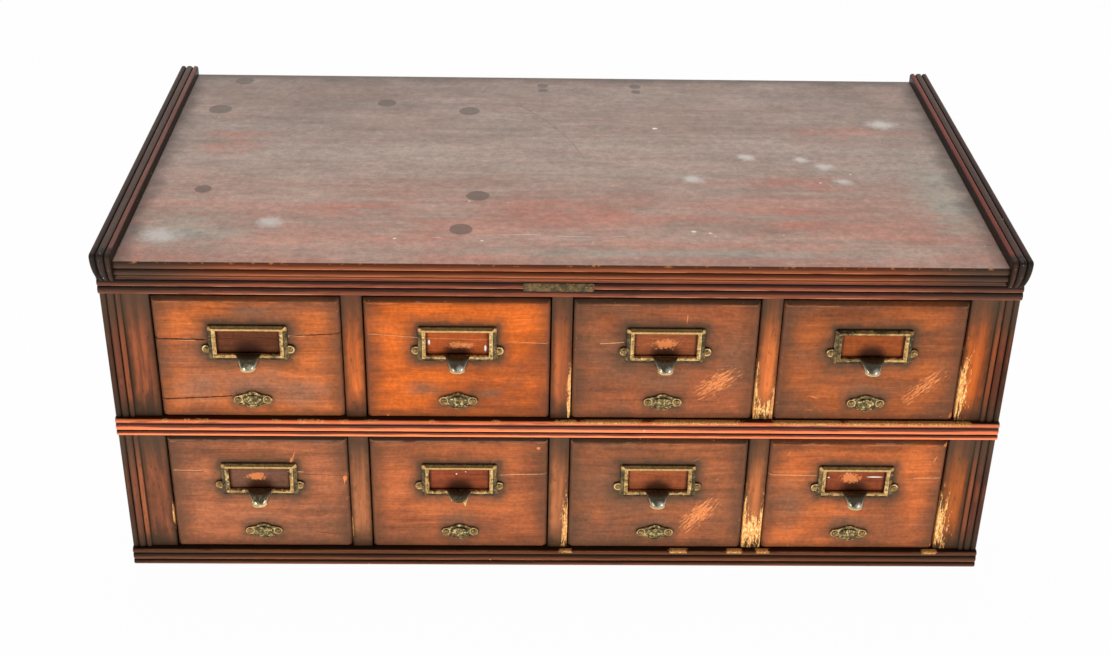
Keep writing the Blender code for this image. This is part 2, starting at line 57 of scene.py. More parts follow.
def makeCamera(settings):
    yaw, pitch, roll = settings["yaw"], settings["pitch"], settings["roll"]
    ahead = Vector((sin(yaw) * cos(pitch), cos(yaw) * cos(pitch), -sin(pitch)))
    right = Vector((cos(yaw), -sin(yaw), 0.0))
    down = ahead.cross(right)
    rolledRight = cos(roll) * right + sin(roll) * down
    rolledUp = sin(roll) * right - cos(roll) * down
    data = bpy.data.cameras.new("photoCamera")
    data.sensor_fit = "HORIZONTAL"
    data.sensor_width = settings["sensor"]
    data.lens = settings["lens"]
    camera = bpy.data.objects.new("photoCamera", data)
    bpy.context.scene.collection.objects.link(camera)
    turn = Matrix((rolledRight, rolledUp, -ahead)).transposed().to_4x4()
    camera.matrix_world = Matrix.Translation(settings["place"]) @ turn
    bpy.context.scene.camera = camera


makeCamera(cameraSettings)
bpy.context.scene.view_settings.view_transform = "Standard"
print("camera placed")


# One output of a node, which can be reckoned with like a number
class Value:
    def __init__(self, bench, socket):
        self.bench = bench
        self.socket = socket

    def __add__(self, other):
        return self.bench.calc("ADD", self, other)

    def __radd__(self, other):
        return self.bench.calc("ADD", other, self)

    def __sub__(self, other):
        return self.bench.calc("SUBTRACT", self, other)

    def __rsub__(self, other):
        return self.bench.calc("SUBTRACT", other, self)

    def __mul__(self, other):
        return self.bench.calc("MULTIPLY", self, other)

    def __rmul__(self, other):
        return self.bench.calc("MULTIPLY", other, self)

    def __truediv__(self, other):
        return self.bench.calc("DIVIDE", self, other)

    def __pow__(self, other):
        return self.bench.calc("POWER", self, other)

    def __abs__(self):
        return self.bench.calc("ABSOLUTE", self)


# Node bench: adds nodes to a tree and joins them
class Bench:
    def __init__(self, tree):
        self.tree = tree

    def add(self, kind, feeds=(), **settings):
        node = self.tree.nodes.new(kind)
        for key, value in settings.items():
            setattr(node, key, value)
        for label, value in dict(feeds).items():
            self.feed(node.inputs[label], value)
        return node

    def feed(self, socket, value):
        if isinstance(value, Value):
            value = value.socket
        if isinstance(value, bpy.types.NodeSocket):
            self.tree.links.new(value, socket)
        elif value is not None:
            if socket.type == "RGBA" and len(value) == 3:
                value = (*value, 1.0)
            socket.default_value = value

    def outputs(self, node):
        return {socket.name: Value(self, socket) for socket in node.outputs}

    def calc(self, operation, *values, clamp=False):
        node = self.add("ShaderNodeMath", enumerate(values), operation=operation, use_clamp=clamp)
        return Value(self, node.outputs[0])

    def larger(self, first, second):
        return self.calc("MAXIMUM", first, second)

    def smaller(self, first, second):
        return self.calc("MINIMUM", first, second)

    def strongest(self, masks):
        result = masks[0]
        for mask in masks[1:]:
            result = self.larger(result, mask)
        return result

    def move(self, operation, *values):
        node = self.add("ShaderNodeVectorMath", enumerate(values), operation=operation)
        return Value(self, node.outputs["Value" if operation == "LENGTH" else "Vector"])

    def scaled(self, vector, amount):
        node = self.add("ShaderNodeVectorMath", {0: vector, "Scale": amount}, operation="SCALE")
        return Value(self, node.outputs["Vector"])

    def fade(self, value, start, end):
        node = self.add("ShaderNodeMapRange", {"Value": value, "From Min": start, "From Max": end},
                        interpolation_type="SMOOTHSTEP")
        return Value(self, node.outputs["Result"])

    def span(self, value, start, end, low, high):
        node = self.add("ShaderNodeMapRange", {"Value": value, "From Min": start, "From Max": end,
                                               "To Min": low, "To Max": high})
        return Value(self, node.outputs["Result"])

    def mix(self, share, first, second, blend="MIX"):
        node = self.add("ShaderNodeMix", data_type="RGBA", blend_type=blend)
        for index, value in ((0, share), (6, first), (7, second)):
            self.feed(node.inputs[index], value)
        return Value(self, node.outputs[2])

    def tinted(self, colour, tint):
        return self.mix(1.0, colour, tint, "MULTIPLY")

    def cloud(self, vector, scale, detail=3.0, rough=0.55, swirl=0.0):
        node = self.add("ShaderNodeTexNoise", {"Vector": vector, "Scale": scale, "Detail": detail,
                                               "Roughness": rough, "Distortion": swirl})
        return Value(self, node.outputs["Fac"])

    def stretched(self, vector, stretch, scale, detail=3.0, rough=0.55, swirl=0.0):
        return self.cloud(self.move("MULTIPLY", vector, stretch), scale, detail, rough, swirl)

    def split(self, vector):
        node = self.add("ShaderNodeSeparateXYZ", {0: vector})
        return [Value(self, socket) for socket in node.outputs]

    def join(self, x, y, z):
        return Value(self, self.add("ShaderNodeCombineXYZ", {0: x, 1: y, 2: z}).outputs[0])

    def use(self, group, **values):
        return self.outputs(self.add("ShaderNodeGroup", values, node_tree=group))


def newGroup(name, inputs, outputs, kind="ShaderNodeTree"):
    forms = {int: "NodeSocketInt", float: "NodeSocketFloat", tuple: "NodeSocketVector"}
    group = bpy.data.node_groups.new(name, kind)
    for label, value in inputs.items():
        form = value if isinstance(value, str) else forms[type(value)]
        socket = group.interface.new_socket(label, in_out="INPUT", socket_type=form)
        if form != value:
            socket.default_value = value
    result = "NodeSocketFloat" if kind == "ShaderNodeTree" else "NodeSocketGeometry"
    for label in outputs:
        group.interface.new_socket(label, in_out="OUTPUT", socket_type=result)
    bench = Bench(group)
    given = bench.outputs(bench.add("NodeGroupInput"))
    return group, bench, given, bench.add("NodeGroupOutput").inputs


# Shared effects
origin = (0.0, 0.0, 0.0)


def makeGrain():
    # Along squeezes the axis that the grain runs on
    group, bench, given, out = newGroup(
        "woodGrain", {"Vector": origin, "Along": (0.05, 1.0, 1.0), "Seed": 0.0},
        ["Cloud", "Figure", "Streak", "Pore"])
    shifted = bench.move("ADD", given["Vector"], bench.scaled((1.7, 2.9, 4.1), given["Seed"]))
    slow = bench.move("MULTIPLY", shifted, given["Along"])
    wobble = bench.cloud(shifted, 9.0, 2.0)
    slow = bench.move("ADD", slow, bench.scaled((0.012, 0.012, 0.012), wobble))
    bench.feed(out["Cloud"], bench.cloud(slow, 26.0, 3.0))
    bench.feed(out["Figure"], bench.cloud(slow, 150.0, 4.0, 0.6, 0.3))
    bench.feed(out["Streak"], bench.cloud(slow, 640.0, 3.0, 0.65))
    bench.feed(out["Pore"], bench.fade(bench.cloud(slow, 1500.0, 2.0), 0.62, 0.72))
    return group


def turnedPlace(bench, given):
    # Place in the turned axes of a mark, and the distance from its middle in half sizes
    offset = bench.move("SUBTRACT", given["Vector"], given["Centre"])
    spin = bench.add("ShaderNodeVectorRotate", {"Vector": offset, "Rotation": given["Turn"]},
                     rotation_type="EULER_XYZ")
    place = Value(bench, spin.outputs[0])
    return place, bench.move("LENGTH", bench.move("DIVIDE", place, given["Size"]))


def makePatch():
    # Ragged ellipse: Size is half its width on each axis, Turn its angles, Stretch squeezes the grit
    group, bench, given, out = newGroup(
        "wornPatch", {"Vector": origin, "Centre": origin, "Size": (0.01, 0.01, 0.01), "Turn": origin,
                      "Stretch": (1.0, 1.0, 1.0), "Ragged": 0.5, "Grit": 300.0, "Soft": 0.3}, ["Mask"])
    _, away = turnedPlace(bench, given)
    gritty = bench.move("MULTIPLY", given["Vector"], given["Stretch"])
    coarse = bench.cloud(gritty, given["Grit"], 4.0, 0.7)
    fine = bench.cloud(gritty, given["Grit"] * 4.3, 2.0, 0.6)
    rough = fine * 0.45 + coarse - 0.725
    away = rough * given["Ragged"] + away
    bench.feed(out["Mask"], bench.fade(away, 1.0, 1.0 - given["Soft"]))
    return group


def makeScuff():
    # Bundle of strokes along the turned X axis, thinning out towards its border
    group, bench, given, out = newGroup(
        "scuffStrokes", {"Vector": origin, "Centre": origin, "Size": (0.01, 0.01, 0.01), "Turn": origin,
                         "Fill": 0.5, "Fine": 700.0}, ["Mask"])
    place, away = turnedPlace(bench, given)
    strokes = bench.stretched(place, (0.16, 1.0, 1.0), given["Fine"], 3.0, 0.7, 0.6)
    level = 1.02 - given["Fill"] + away ** 2.0 * 0.28
    mask = bench.fade(strokes - level, 0.0, 0.05)
    bench.feed(out["Mask"], mask * bench.fade(away, 1.15, 0.9))
    return group


def makeCrack():
    # Thin wandering line across a front, from Start to End
    group, bench, given, out = newGroup(
        "crackLine", {"Vector": origin, "Start": origin, "End": (1.0, 0.0, 0.0), "Width": 0.0005,
                      "Wander": 0.002}, ["Mask", "Beside"])
    x, _, z = bench.split(given["Vector"])
    startX, _, startZ = bench.split(given["Start"])
    endX, _, endZ = bench.split(given["End"])
    share = (x - startX) / (endX - startX)
    line = share * (endZ - startZ) + startZ
    sway = bench.cloud(bench.join(x, startZ, 0.0), 70.0, 3.0, 0.6) - 0.5
    line = sway * given["Wander"] + line
    away = abs(z - line)
    inside = bench.fade(share, 0.0, 0.04) * bench.fade(share, 1.0, 0.96)
    fine = bench.cloud(bench.join(x, 0.0, startZ), 260.0, 2.0) * 1.6
    wide = given["Width"] * fine
    core = bench.fade(away, wide, wide * 0.35)
    broad = wide * 3.5
    bench.feed(out["Mask"], core * inside)
    bench.feed(out["Beside"], bench.fade(away, broad, 0.0) * inside)
    return group


def makeEdgeBand():
    # Distance inwards from the border of an upright panel
    group, bench, given, out = newGroup(
        "panelBorder", {"Vector": origin, "Centre": origin, "Half": (0.1, 0.1, 0.1)},
        ["Distance", "Side", "Rise"])
    offset = bench.move("SUBTRACT", given["Vector"], given["Centre"])
    room = bench.move("SUBTRACT", given["Half"], bench.move("ABSOLUTE", offset))
    sideways, _, upright = bench.split(room)
    _, _, height = bench.split(offset)
    bench.feed(out["Distance"], bench.smaller(sideways, upright))
    bench.feed(out["Side"], sideways)
    bench.feed(out["Rise"], height)
    return group


def makeSpecks():
    group, bench, given, out = newGroup(
        "paintSpecks", {"Vector": origin, "Scale": 60.0, "Size": 0.06, "Chance": 0.1}, ["Mask"])
    cells = bench.outputs(bench.add("ShaderNodeTexVoronoi",
                                    {"Vector": given["Vector"], "Scale": given["Scale"]}))
    luck, size, _ = bench.split(cells["Color"])
    chosen = bench.calc("LESS_THAN", luck, given["Chance"])
    reach = given["Size"] * (size + 0.3)
    dot = bench.fade(cells["Distance"], reach, reach * 0.6)
    bench.feed(out["Mask"], dot * chosen)
    return group


def makeGrooveDirtAndShade():
    # Across is the distance over a three-reed edge, from 0 at one face of the board
    group, bench, given, out = newGroup(
        "reedGrooves", {"Across": 0.0, "First": 0.00575, "Second": 0.01325, "Thickness": 0.019},
        ["Groove", "Crest", "Reed", "Climb"])
    lines = [given["First"], given["Second"], given["Thickness"]]
    gaps = [abs(given["Across"])]
    gaps += [abs(given["Across"] - line) for line in lines]
    nearest = bench.smaller(bench.smaller(gaps[0], gaps[1]), bench.smaller(gaps[2], gaps[3]))
    # Groove marks the grooves, which the boards darken with dirt and painted shade
    bench.feed(out["Groove"], bench.fade(nearest, 0.0011, 0.0003))
    bench.feed(out["Crest"], bench.fade(nearest, 0.0014, 0.0027))
    # Number of the reed, and the place from 0 to 1 over it
    past1 = bench.calc("GREATER_THAN", given["Across"], given["First"])
    past2 = bench.calc("GREATER_THAN", given["Across"], given["Second"])
    middle = given["Second"] - given["First"]
    last = given["Thickness"] - given["Second"]
    start = past2 * middle + past1 * given["First"]
    width = past1 * (middle - given["First"]) + given["First"]
    width = past2 * (last - middle) + width
    bench.feed(out["Reed"], past1 + past2)
    bench.feed(out["Climb"], (given["Across"] - start) / width)
    return group


grainGroup = makeGrain()
patchGroup = makePatch()
scuffGroup = makeScuff()
crackGroup = makeCrack()
borderGroup = makeEdgeBand()
speckGroup = makeSpecks()
grooveGroup = makeGrooveDirtAndShade()
print("shared effects ready")


def startMaterial(name):
    material = bpy.data.materials.new(name)
    material.use_nodes = True
    bench = Bench(material.node_tree)
    shader = material.node_tree.nodes["Principled BSDF"]
    return material, bench, shader, bench.outputs(bench.add("ShaderNodeTexCoord"))["Object"]


def addBump(bench, shader, height, strength, distance):
    bump = bench.add("ShaderNodeBump", {"Strength": strength, "Distance": distance, "Height": height})
    bench.feed(shader.inputs["Normal"], bump.outputs["Normal"])


def mm(x, z, y=0.0):
    return (x / 1000, y / 1000, z / 1000)


# Marks on an upright face lie in X and Z only, so their depth is ignored
throughDepth = 10.0


def addPatches(bench, coords, patches):
    masks = []
    for patch in patches:
        across, up = patch["size"]
        masks.append(bench.use(
            patchGroup, Vector=coords, Centre=mm(*patch["at"]),
            Size=(across / 1000, throughDepth, up / 1000),
            Turn=(0.0, radians(patch.get("turn", 0.0)), 0.0), Stretch=patch.get("stretch", (1.0, 1.0, 1.0)),
            Ragged=patch.get("ragged", 0.9), Grit=patch.get("grit", 350.0),
            Soft=patch.get("soft", 0.3))["Mask"])
    return bench.strongest(masks)


def addScuffs(bench, coords, scuffs):
    masks = []
    for scuff in scuffs:
        across, up = scuff["size"]
        masks.append(bench.use(
            scuffGroup, Vector=coords, Centre=mm(*scuff["at"]),
            Size=(across / 1000, throughDepth, up / 1000),
            Turn=(0.0, radians(scuff["turn"]), 0.0), Fill=scuff.get("fill", 0.55),
            Fine=scuff.get("fine", 700.0))["Mask"])
    return bench.strongest(masks)


# Sizes of the label-holder pulls, from the middle of the frame with the wood at Y = 0
pullShape = {
    "frame": (0.073, 0.0368), "side": 0.0075, "top": 0.0053, "foot": 0.0074, "corner": 0.0026,
    "slot": 0.0014,
    "section": ((0.00, 0.0000), (0.00, 0.0010), (0.04, 0.0016), (0.22, 0.0024), (0.40, 0.0031),
                (0.46, 0.0036), (0.54, 0.0038), (0.84, 0.0038), (0.93, 0.0035), (1.00, 0.0028),
                (1.00, 0.0014), (0.58, 0.0014), (0.58, 0.0000)),
    "earSpacing": 0.0768, "earDrop": 0.0066, "earRadius": 0.0046, "earThickness": 0.0020,
    "hoodHalf": 0.0124, "hoodTop": -0.0101, "hoodRim": -0.0218, "hoodReach": 0.0144, "hoodRoot": 0.0036,
    "hoodWall": 0.0016, "hoodLift": 0.0044, "hoodCurl": 4, "waist": 0.82, "flare": 3,
}
# One hood has snapped: the break seen from above and from the front, from the middle of the pull
brokenPull = "lower_drawer_2"
breakLines = {"above": ((-0.030, -0.0060), (-0.0118, -0.0070), (-0.0106, -0.0112), (-0.0086, -0.0142),
                        (-0.0056, -0.0160), (-0.0010, -0.0168), (0.0046, -0.0171), (0.0052, -0.0196),
                        (0.0080, -0.0196), (0.0086, -0.0150), (0.0104, -0.0110), (0.030, -0.0100)),
              "ahead": ((-0.030, -0.0146), (-0.0104, -0.0150), (-0.0080, -0.0160), (-0.0030, -0.0164),
                        (0.0048, -0.0166), (0.0056, -0.0200), (0.0067, -0.0214), (0.0076, -0.0196),
                        (0.0082, -0.0164), (0.030, -0.0158)),
              "edge": -0.0163, "clear": 0.0042, "far": 0.050}
windowHalf = (pullShape["frame"][0] / 2 - pullShape["side"],
              pullShape["frame"][1] / 2 - (pullShape["top"] + pullShape["foot"]) / 2)

# Drawer fronts: colours are the light and the deep tone of the wood, patina the share of dull brown over
# them
bareWood = (0.86, 0.47, 0.20)
freshScratch = (0.72, 0.23, 0.075)
# Near-black: soot in cracks, pits and dents, and painted shade in the reed grooves
sootAndShade = (0.018, 0.012, 0.008)
frontLooks = {
    "upper_drawer_1": {
        "light": (0.606, 0.146, 0.032), "deep": (0.316, 0.076, 0.020), "patina": 0.45, "seed": 1.3,
        "dull": (0.30, 0.125, 0.066), "window": (0.115, 0.034, 0.013), "brow": 0.62, "streak": 0.1,
        "bright": [((-228, 275), (34, 22)), ((-345, 275), (30, 22))],
        "dim": [((-288, 203), (62, 34)), ((-245, 198), (44, 30)), ((-335, 203), (44, 30)),
                ((-285, 285), (36, 10))],
        "cracks": [((-375, 256), (-326, 255.1), 1.1, 2.5), ((-330, 255.3), (-252, 258.8), 0.5, 1.5),
                   ((-252, 259.4), (-203, 262.6), 0.8, 2.0), ((-375, 190.4), (-306, 194.1), 1.0, 2.0)],
        "paleCracks": [((-252, 259.4), (-236, 259.9), 1.4, 1.5), ((-352, 254.6), (-337, 254.0), 0.5, 2.5)],
        "patches": [], "scuffs": [], "paper": [],
    },
    "upper_drawer_2": {
        "light": (0.705, 0.138, 0.0165), "deep": (0.376, 0.073, 0.012), "patina": 0.25, "seed": 2.1,
        "window": (0.40, 0.080, 0.016), "brow": 0.82, "streak": 0.1,
        "bright": [((-60, 275), (70, 26)), ((-155, 185), (26, 12)), ((-155, 250), (22, 40))],
        "dim": [((-128, 203), (26, 14)), ((-66, 199), (22, 10))],
        "cracks": [],
        "paleCracks": [((-180, 262.2), (-126, 258.8), 0.3, 2.0), ((-128, 258.4), (-64, 256.8), 0.2, 1.0),
                       ((-50, 255.2), (-11, 253.2), 0.25, 1.5)],
        "patches": [{"at": (-93, 251.3), "size": (13, 3.4), "ragged": 3.2, "grit": 520.0}],
        "scuffs": [],
        "paper": [{"at": (-122.5, 254.0), "size": (1.2, 3.2)}, {"at": (-70.5, 248.0), "size": (1.3, 3.6)}],
    },
    "upper_drawer_3": {
        "light": (0.386, 0.106, 0.038), "deep": (0.196, 0.058, 0.023), "patina": 0.7, "seed": 3.7,
        "window": (0.30, 0.082, 0.028), "brow": 0.74, "streak": 0.2,
        "bright": [((150, 280), (36, 16)), ((40, 275), (22, 18))],
        "dim": [((96, 215), (44, 24)), ((162, 240), (34, 50))],
        "cracks": [],
        "paleCracks": [((35, 253.6), (58, 255.1), 0.5, 1.0)],
        "patches": [{"at": (96, 253.8), "size": (12, 5.2), "ragged": 3.2, "grit": 420.0}],
        "scuffs": [{"at": (147, 211.8), "size": (32, 15), "turn": 36, "fill": 0.60, "fine": 980.0},
                   {"at": (115.4, 282.8), "size": (9, 1.2), "turn": 88, "fill": 0.6}],
        "paper": [],
    },
    "upper_drawer_4": {
        "light": (0.435, 0.109, 0.0268), "deep": (0.220, 0.058, 0.019), "patina": 0.55, "seed": 4.4,
        "window": (0.34, 0.078, 0.017), "brow": 0.48, "streak": 0.0,
        "bright": [((230, 265), (30, 30)), ((345, 280), (26, 16))],
        "dim": [((289, 205), (40, 18))],
        "cracks": [], "paleCracks": [],
        "patches": [{"at": (372.4, 176.4), "size": (3.0, 3.0), "ragged": 1.2}],
        "scuffs": [{"at": (343, 209.8), "size": (38, 13), "turn": 44, "fill": 0.56, "fine": 980.0},
                   {"at": (241, 195.8), "size": (9, 2.0), "turn": -14, "fill": 0.56},
                   {"at": (238, 181.8), "size": (8, 3.0), "turn": 5, "fill": 0.48}],
        "paper": [],
    },
    "lower_drawer_1": {
        "light": (0.446, 0.134, 0.052), "deep": (0.246, 0.076, 0.033), "patina": 0.6, "seed": 5.2,
        "window": (0.165, 0.072, 0.042), "brow": 0.92, "streak": 1.0,
        "bright": [((-240, 122), (40, 16)), ((-345, 60), (20, 24))],
        "dim": [((-290, 52), (36, 14))],
        "cracks": [((-369, 108.8), (-342, 107.9), 0.35, 1.5), ((-249, 105.6), (-206, 103.5), 0.3, 1.5),
                   ((-238, 36.5), (-205, 32.9), 0.35, 1.5)],
        "paleCracks": [((-371, 109.4), (-343, 108.6), 0.5, 2.5), ((-262, 108.4), (-246, 107.6), 0.5, 1.5)],
        "patches": [{"at": (-291, 102.8), "size": (9.5, 4.6), "ragged": 2.8, "grit": 420.0},
                    {"at": (-207, 100.8), "size": (2.0, 3.6), "ragged": 1.4}],
        "scuffs": [{"at": (-257, 120.8), "size": (13, 2.2), "turn": 70, "fill": 0.66},
                   {"at": (-352, 109.8), "size": (18, 5), "turn": 8, "fill": 0.46},
                   {"at": (-206, 100.8), "size": (9, 2.6), "turn": 80, "fill": 0.6}],
        "paper": [],
    },
    "lower_drawer_2": {
        "light": (0.505, 0.130, 0.0395), "deep": (0.276, 0.071, 0.0247), "patina": 0.4, "seed": 6.6,
        "window": (0.27, 0.058, 0.020), "brow": 0.88, "streak": 0.9,
        "bright": [((-155, 95), (30, 34)), ((-50, 115), (38, 24))],
        "dim": [((-96, 52), (34, 16))],
        "cracks": [((-113, 106.8), (-58, 105.8), 0.3, 1.5)],
        "paleCracks": [((-58, 105.4), (-11, 107.1), 0.4, 0.8)],
        "patches": [{"at": (-20, 136.8), "size": (2.0, 2.2), "ragged": 1.4}],
        "scuffs": [{"at": (-60, 123.8), "size": (12, 4), "turn": 40, "fill": 0.44}],
        "paper": [{"at": (-99, 106.5), "size": (0.9, 0.8)}, {"at": (-90, 109.0), "size": (0.7, 0.7)}],
    },
    "lower_drawer_3": {
        "light": (0.386, 0.114, 0.040), "deep": (0.196, 0.060, 0.025), "patina": 0.72, "seed": 7.9,
        "window": (0.31, 0.078, 0.024), "brow": 0.76, "streak": 0.3,
        "bright": [((120, 126), (44, 12)), ((40, 60), (18, 26))],
        "dim": [((96, 50), (36, 16))],
        "cracks": [], "paleCracks": [],
        "patches": [],
        "scuffs": [{"at": (139, 59.8), "size": (34, 14), "turn": 50, "fill": 0.61, "fine": 980.0},
                   {"at": (136, 125.8), "size": (14, 4), "turn": 30, "fill": 0.45},
                   {"at": (155, 101.8), "size": (5, 2), "turn": 60, "fill": 0.52}],
        "paper": [],
    },
    "lower_drawer_4": {
        "light": (0.626, 0.148, 0.036), "deep": (0.306, 0.076, 0.023), "patina": 0.4, "seed": 8.8,
        "window": (0.24, 0.052, 0.018), "brow": 0.62, "streak": 0.4,
        "bright": [((350, 75), (28, 46)), ((300, 126), (60, 12))],
        "dim": [((225, 75), (34, 44)), ((288, 52), (34, 14))],
        "cracks": [],
        "paleCracks": [((202, 107.5), (252, 106.5), 0.4, 0.8), ((345, 104.1), (374, 104.8), 0.4, 0.8)],
        "patches": [{"at": (284, 104.4), "size": (10.0, 6.2), "ragged": 2.4, "grit": 420.0},
                    {"at": (373, 142.5), "size": (3.0, 3.0), "ragged": 1.2},
                    {"at": (374, 22.0), "size": (3.0, 2.6), "ragged": 1.2}],
        "scuffs": [{"at": (365, 127.8), "size": (8, 2), "turn": 75, "fill": 0.55},
                   {"at": (222, 131.8), "size": (6, 1.5), "turn": 60, "fill": 0.55}],
        "paper": [{"at": (307.7, 105.4), "size": (9.0, 0.75)}, {"at": (262.6, 104.6), "size": (1.2, 0.8)}],
    },
}
frontFinish = {"roughness": (0.32, 0.48), "bump": 0.35, "patina": (0.232, 0.092, 0.044), "specular": 0.06,
               "chamfer": 0.0036, "warmth": (1.0, 1.05, 1.10), "sides": (0.096, 0.048, 0.026),
               "brow": (0.064, 0.040, 0.026), "bevel": (0.34, 0.185, 0.13), "lip": (0.80, 0.30, 0.10),
               "arris": (0.52, 0.30, 0.21), "halo": (0.086, 0.055, 0.032), "windowShadow": (0.055, 0.018, 0.008),
               "scuff": (0.82, 0.27, 0.088), "paleCrack": (0.88, 0.52, 0.26), "paper": (0.86, 0.83, 0.78),
               "speck": (0.95, 0.76, 0.60)}


def roundedBoxGap(bench, x, z, centre, half):
    # Distance outwards from an upright rectangle
    overX = bench.larger(abs(x - centre[0]) - half[0], 0.0)
    overZ = bench.larger(abs(z - centre[1]) - half[1], 0.0)
    return bench.calc("SQRT", overX ** 2.0 + overZ ** 2.0)


def makeFrontWood(name, look):
    material, bench, shader, coords = startMaterial(f"{name}_mahogany")
    low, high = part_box(f"{name}_front")
    _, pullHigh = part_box(f"{name}_pull")
    plateLow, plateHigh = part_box(f"{name}_plate")
    middle = (low + high) / 2
    half = (high - low) / 2
    x, _, z = bench.split(coords)
    grain = bench.use(grainGroup, Vector=coords, Along=(0.05, 1.0, 1.0), Seed=look["seed"])
    border = bench.use(borderGroup, Vector=coords, Centre=middle, Half=half)
    blotch = bench.cloud(bench.move("ADD", bench.move("MULTIPLY", coords, (0.55, 1.0, 1.0)),
                                    (look["seed"], 0.0, look["seed"])), 20.0, 5.0, 0.62)
    tone = grain["Cloud"] * 0.35 + blotch * 0.65
    colour = bench.mix(bench.fade(tone, 0.62, 0.38), look["deep"], look["light"])
    dull = bench.fade(blotch, 0.4, 0.62) * look["patina"]
    broad = {}
    for kind in ("bright", "dim"):
        broad[kind] = bench.strongest([bench.use(
            patchGroup, Vector=coords, Centre=mm(*spot), Size=mm(*size, 1000 * throughDepth),
            Ragged=0.8, Grit=35.0, Soft=0.95)["Mask"] for spot, size in look[kind]])
    dull = dull * (1.0 - broad["bright"])
    dull = bench.larger(dull, broad["dim"] * 0.9)
    colour = bench.mix(broad["bright"] * 0.8, colour, look["light"])
    colour = bench.mix(dull, colour, look.get("dull", frontFinish["patina"]))
    mottle = bench.cloud(coords, 260.0, 4.0, 0.7)
    fibre = (bench.span(grain["Figure"], 0.3, 0.7, 0.8, 1.22)
             * (bench.span(grain["Streak"], 0.32, 0.68, 0.84, 1.16)
                * bench.span(mottle, 0.3, 0.7, 0.8, 1.2)))
    colour = bench.tinted(colour, fibre)
    colour = bench.tinted(colour, frontFinish["warmth"])
    # Darker towards the ends and along the foot; painted shade along the top under the rail
    grit = (bench.cloud(coords, 75.0, 4.0, 0.65) - 0.5) * 0.014
    sideGap = border["Side"] + grit
    footGap = border["Rise"] + half.z + grit
    topGap = half.z - border["Rise"]
    brown = bench.larger(bench.fade(sideGap, 0.022, 0.0) * 0.66, bench.fade(footGap, 0.016, 0.0) * 0.55)
    colour = bench.mix(brown, colour, frontFinish["sides"])
    chamfer = frontFinish["chamfer"]
    # Painted shade: the top chamfer and the face just below it darken under the rail
    shade = bench.fade(grit * 0.12 + topGap, chamfer + 0.0036, 0.0012)
    colour = bench.mix(shade * look["brow"], colour, frontFinish["brow"])
    patchy = bench.stretched(coords, (0.25, 1.0, 1.0), 190.0, 4.0, 0.65)
    # Painted highlight: a pale sheen on the side chamfers
    bevel = (bench.fade(border["Side"], chamfer + 0.0003, chamfer - 0.0006)
             * bench.fade(topGap, chamfer, 3 * chamfer))
    colour = bench.mix(bevel * 0.14, colour, frontFinish["bevel"])
    # Rubbed wood and painted highlight: a broken orange line along the foot of the top chamfer
    lip = abs(topGap - (chamfer + 0.0011))
    lip = bench.fade(lip, 0.001, 0.0003) * bench.fade(patchy, 0.44, 0.62)
    colour = bench.mix(lip * 0.6, colour, bench.mix(0.35, look["light"], frontFinish["lip"]))
    arris = abs(topGap - (chamfer - 0.0004))
    arris = (bench.fade(arris, 0.0009, 0.0003)
             * bench.fade(patchy, 0.66 - 0.32 * look["streak"], 0.74 - 0.28 * look["streak"]))
    colour = bench.mix(arris * 0.45, colour, frontFinish["arris"])
    # Grime and painted shade round the brass, and the sheltered wood in the label window
    frameZ = pullHigh.z - pullShape["frame"][1] / 2
    frameHalf = (pullShape["frame"][0] / 2, pullShape["frame"][1] / 2)
    windowZ = frameZ + (pullShape["foot"] - pullShape["top"]) / 2
    pullGap = roundedBoxGap(bench, x, z, (middle.x, frameZ), frameHalf)
    plateGap = roundedBoxGap(bench, x, z, (middle.x, (plateLow.z + plateHigh.z) / 2), (0.013, 0.003))
    earGap = roundedBoxGap(bench, x, z, (middle.x, frameZ - 0.009), (0.040, 0.004))
    nearest = bench.smaller(bench.smaller(pullGap, earGap), plateGap)
    ragged = nearest + grit
    # Grime and painted shade in a ring round the pull, the ears and the plate
    halo = bench.fade(ragged, 0.016, 0.004) * 0.45 + bench.fade(ragged, 0.0065, 0.0005) * 0.42
    windowGap = roundedBoxGap(bench, x, z, (middle.x, windowZ), windowHalf)
    inside = bench.fade(windowGap, 0.0025, 0.0008)
    halo = halo * (1.0 - inside)
    colour = bench.mix(halo, colour, frontFinish["halo"])
    glow = bench.tinted(look["window"], fibre)
    colour = bench.mix(inside * 0.95, colour, glow)
    # Painted shadow in the label window: a dome above the hood, and bands along the jambs and the head of
    # the frame
    dome = bench.use(patchGroup, Vector=coords, Centre=(middle.x, 0.0, frameZ - 0.0105),
                     Size=(0.0205, throughDepth, 0.0175), Ragged=0.2, Grit=120.0, Soft=0.7)["Mask"]
    toJamb = windowHalf[0] - abs(x - middle.x)
    toHead = windowHalf[1] - (z - windowZ)
    rimShade = bench.larger(bench.fade(toJamb, 0.0032, 0.0), bench.fade(toHead, 0.003, 0.0))
    windowShadow = bench.larger(dome * 0.95, rimShade * 0.8)
    colour = bench.mix(windowShadow * inside, colour, frontFinish["windowShadow"])
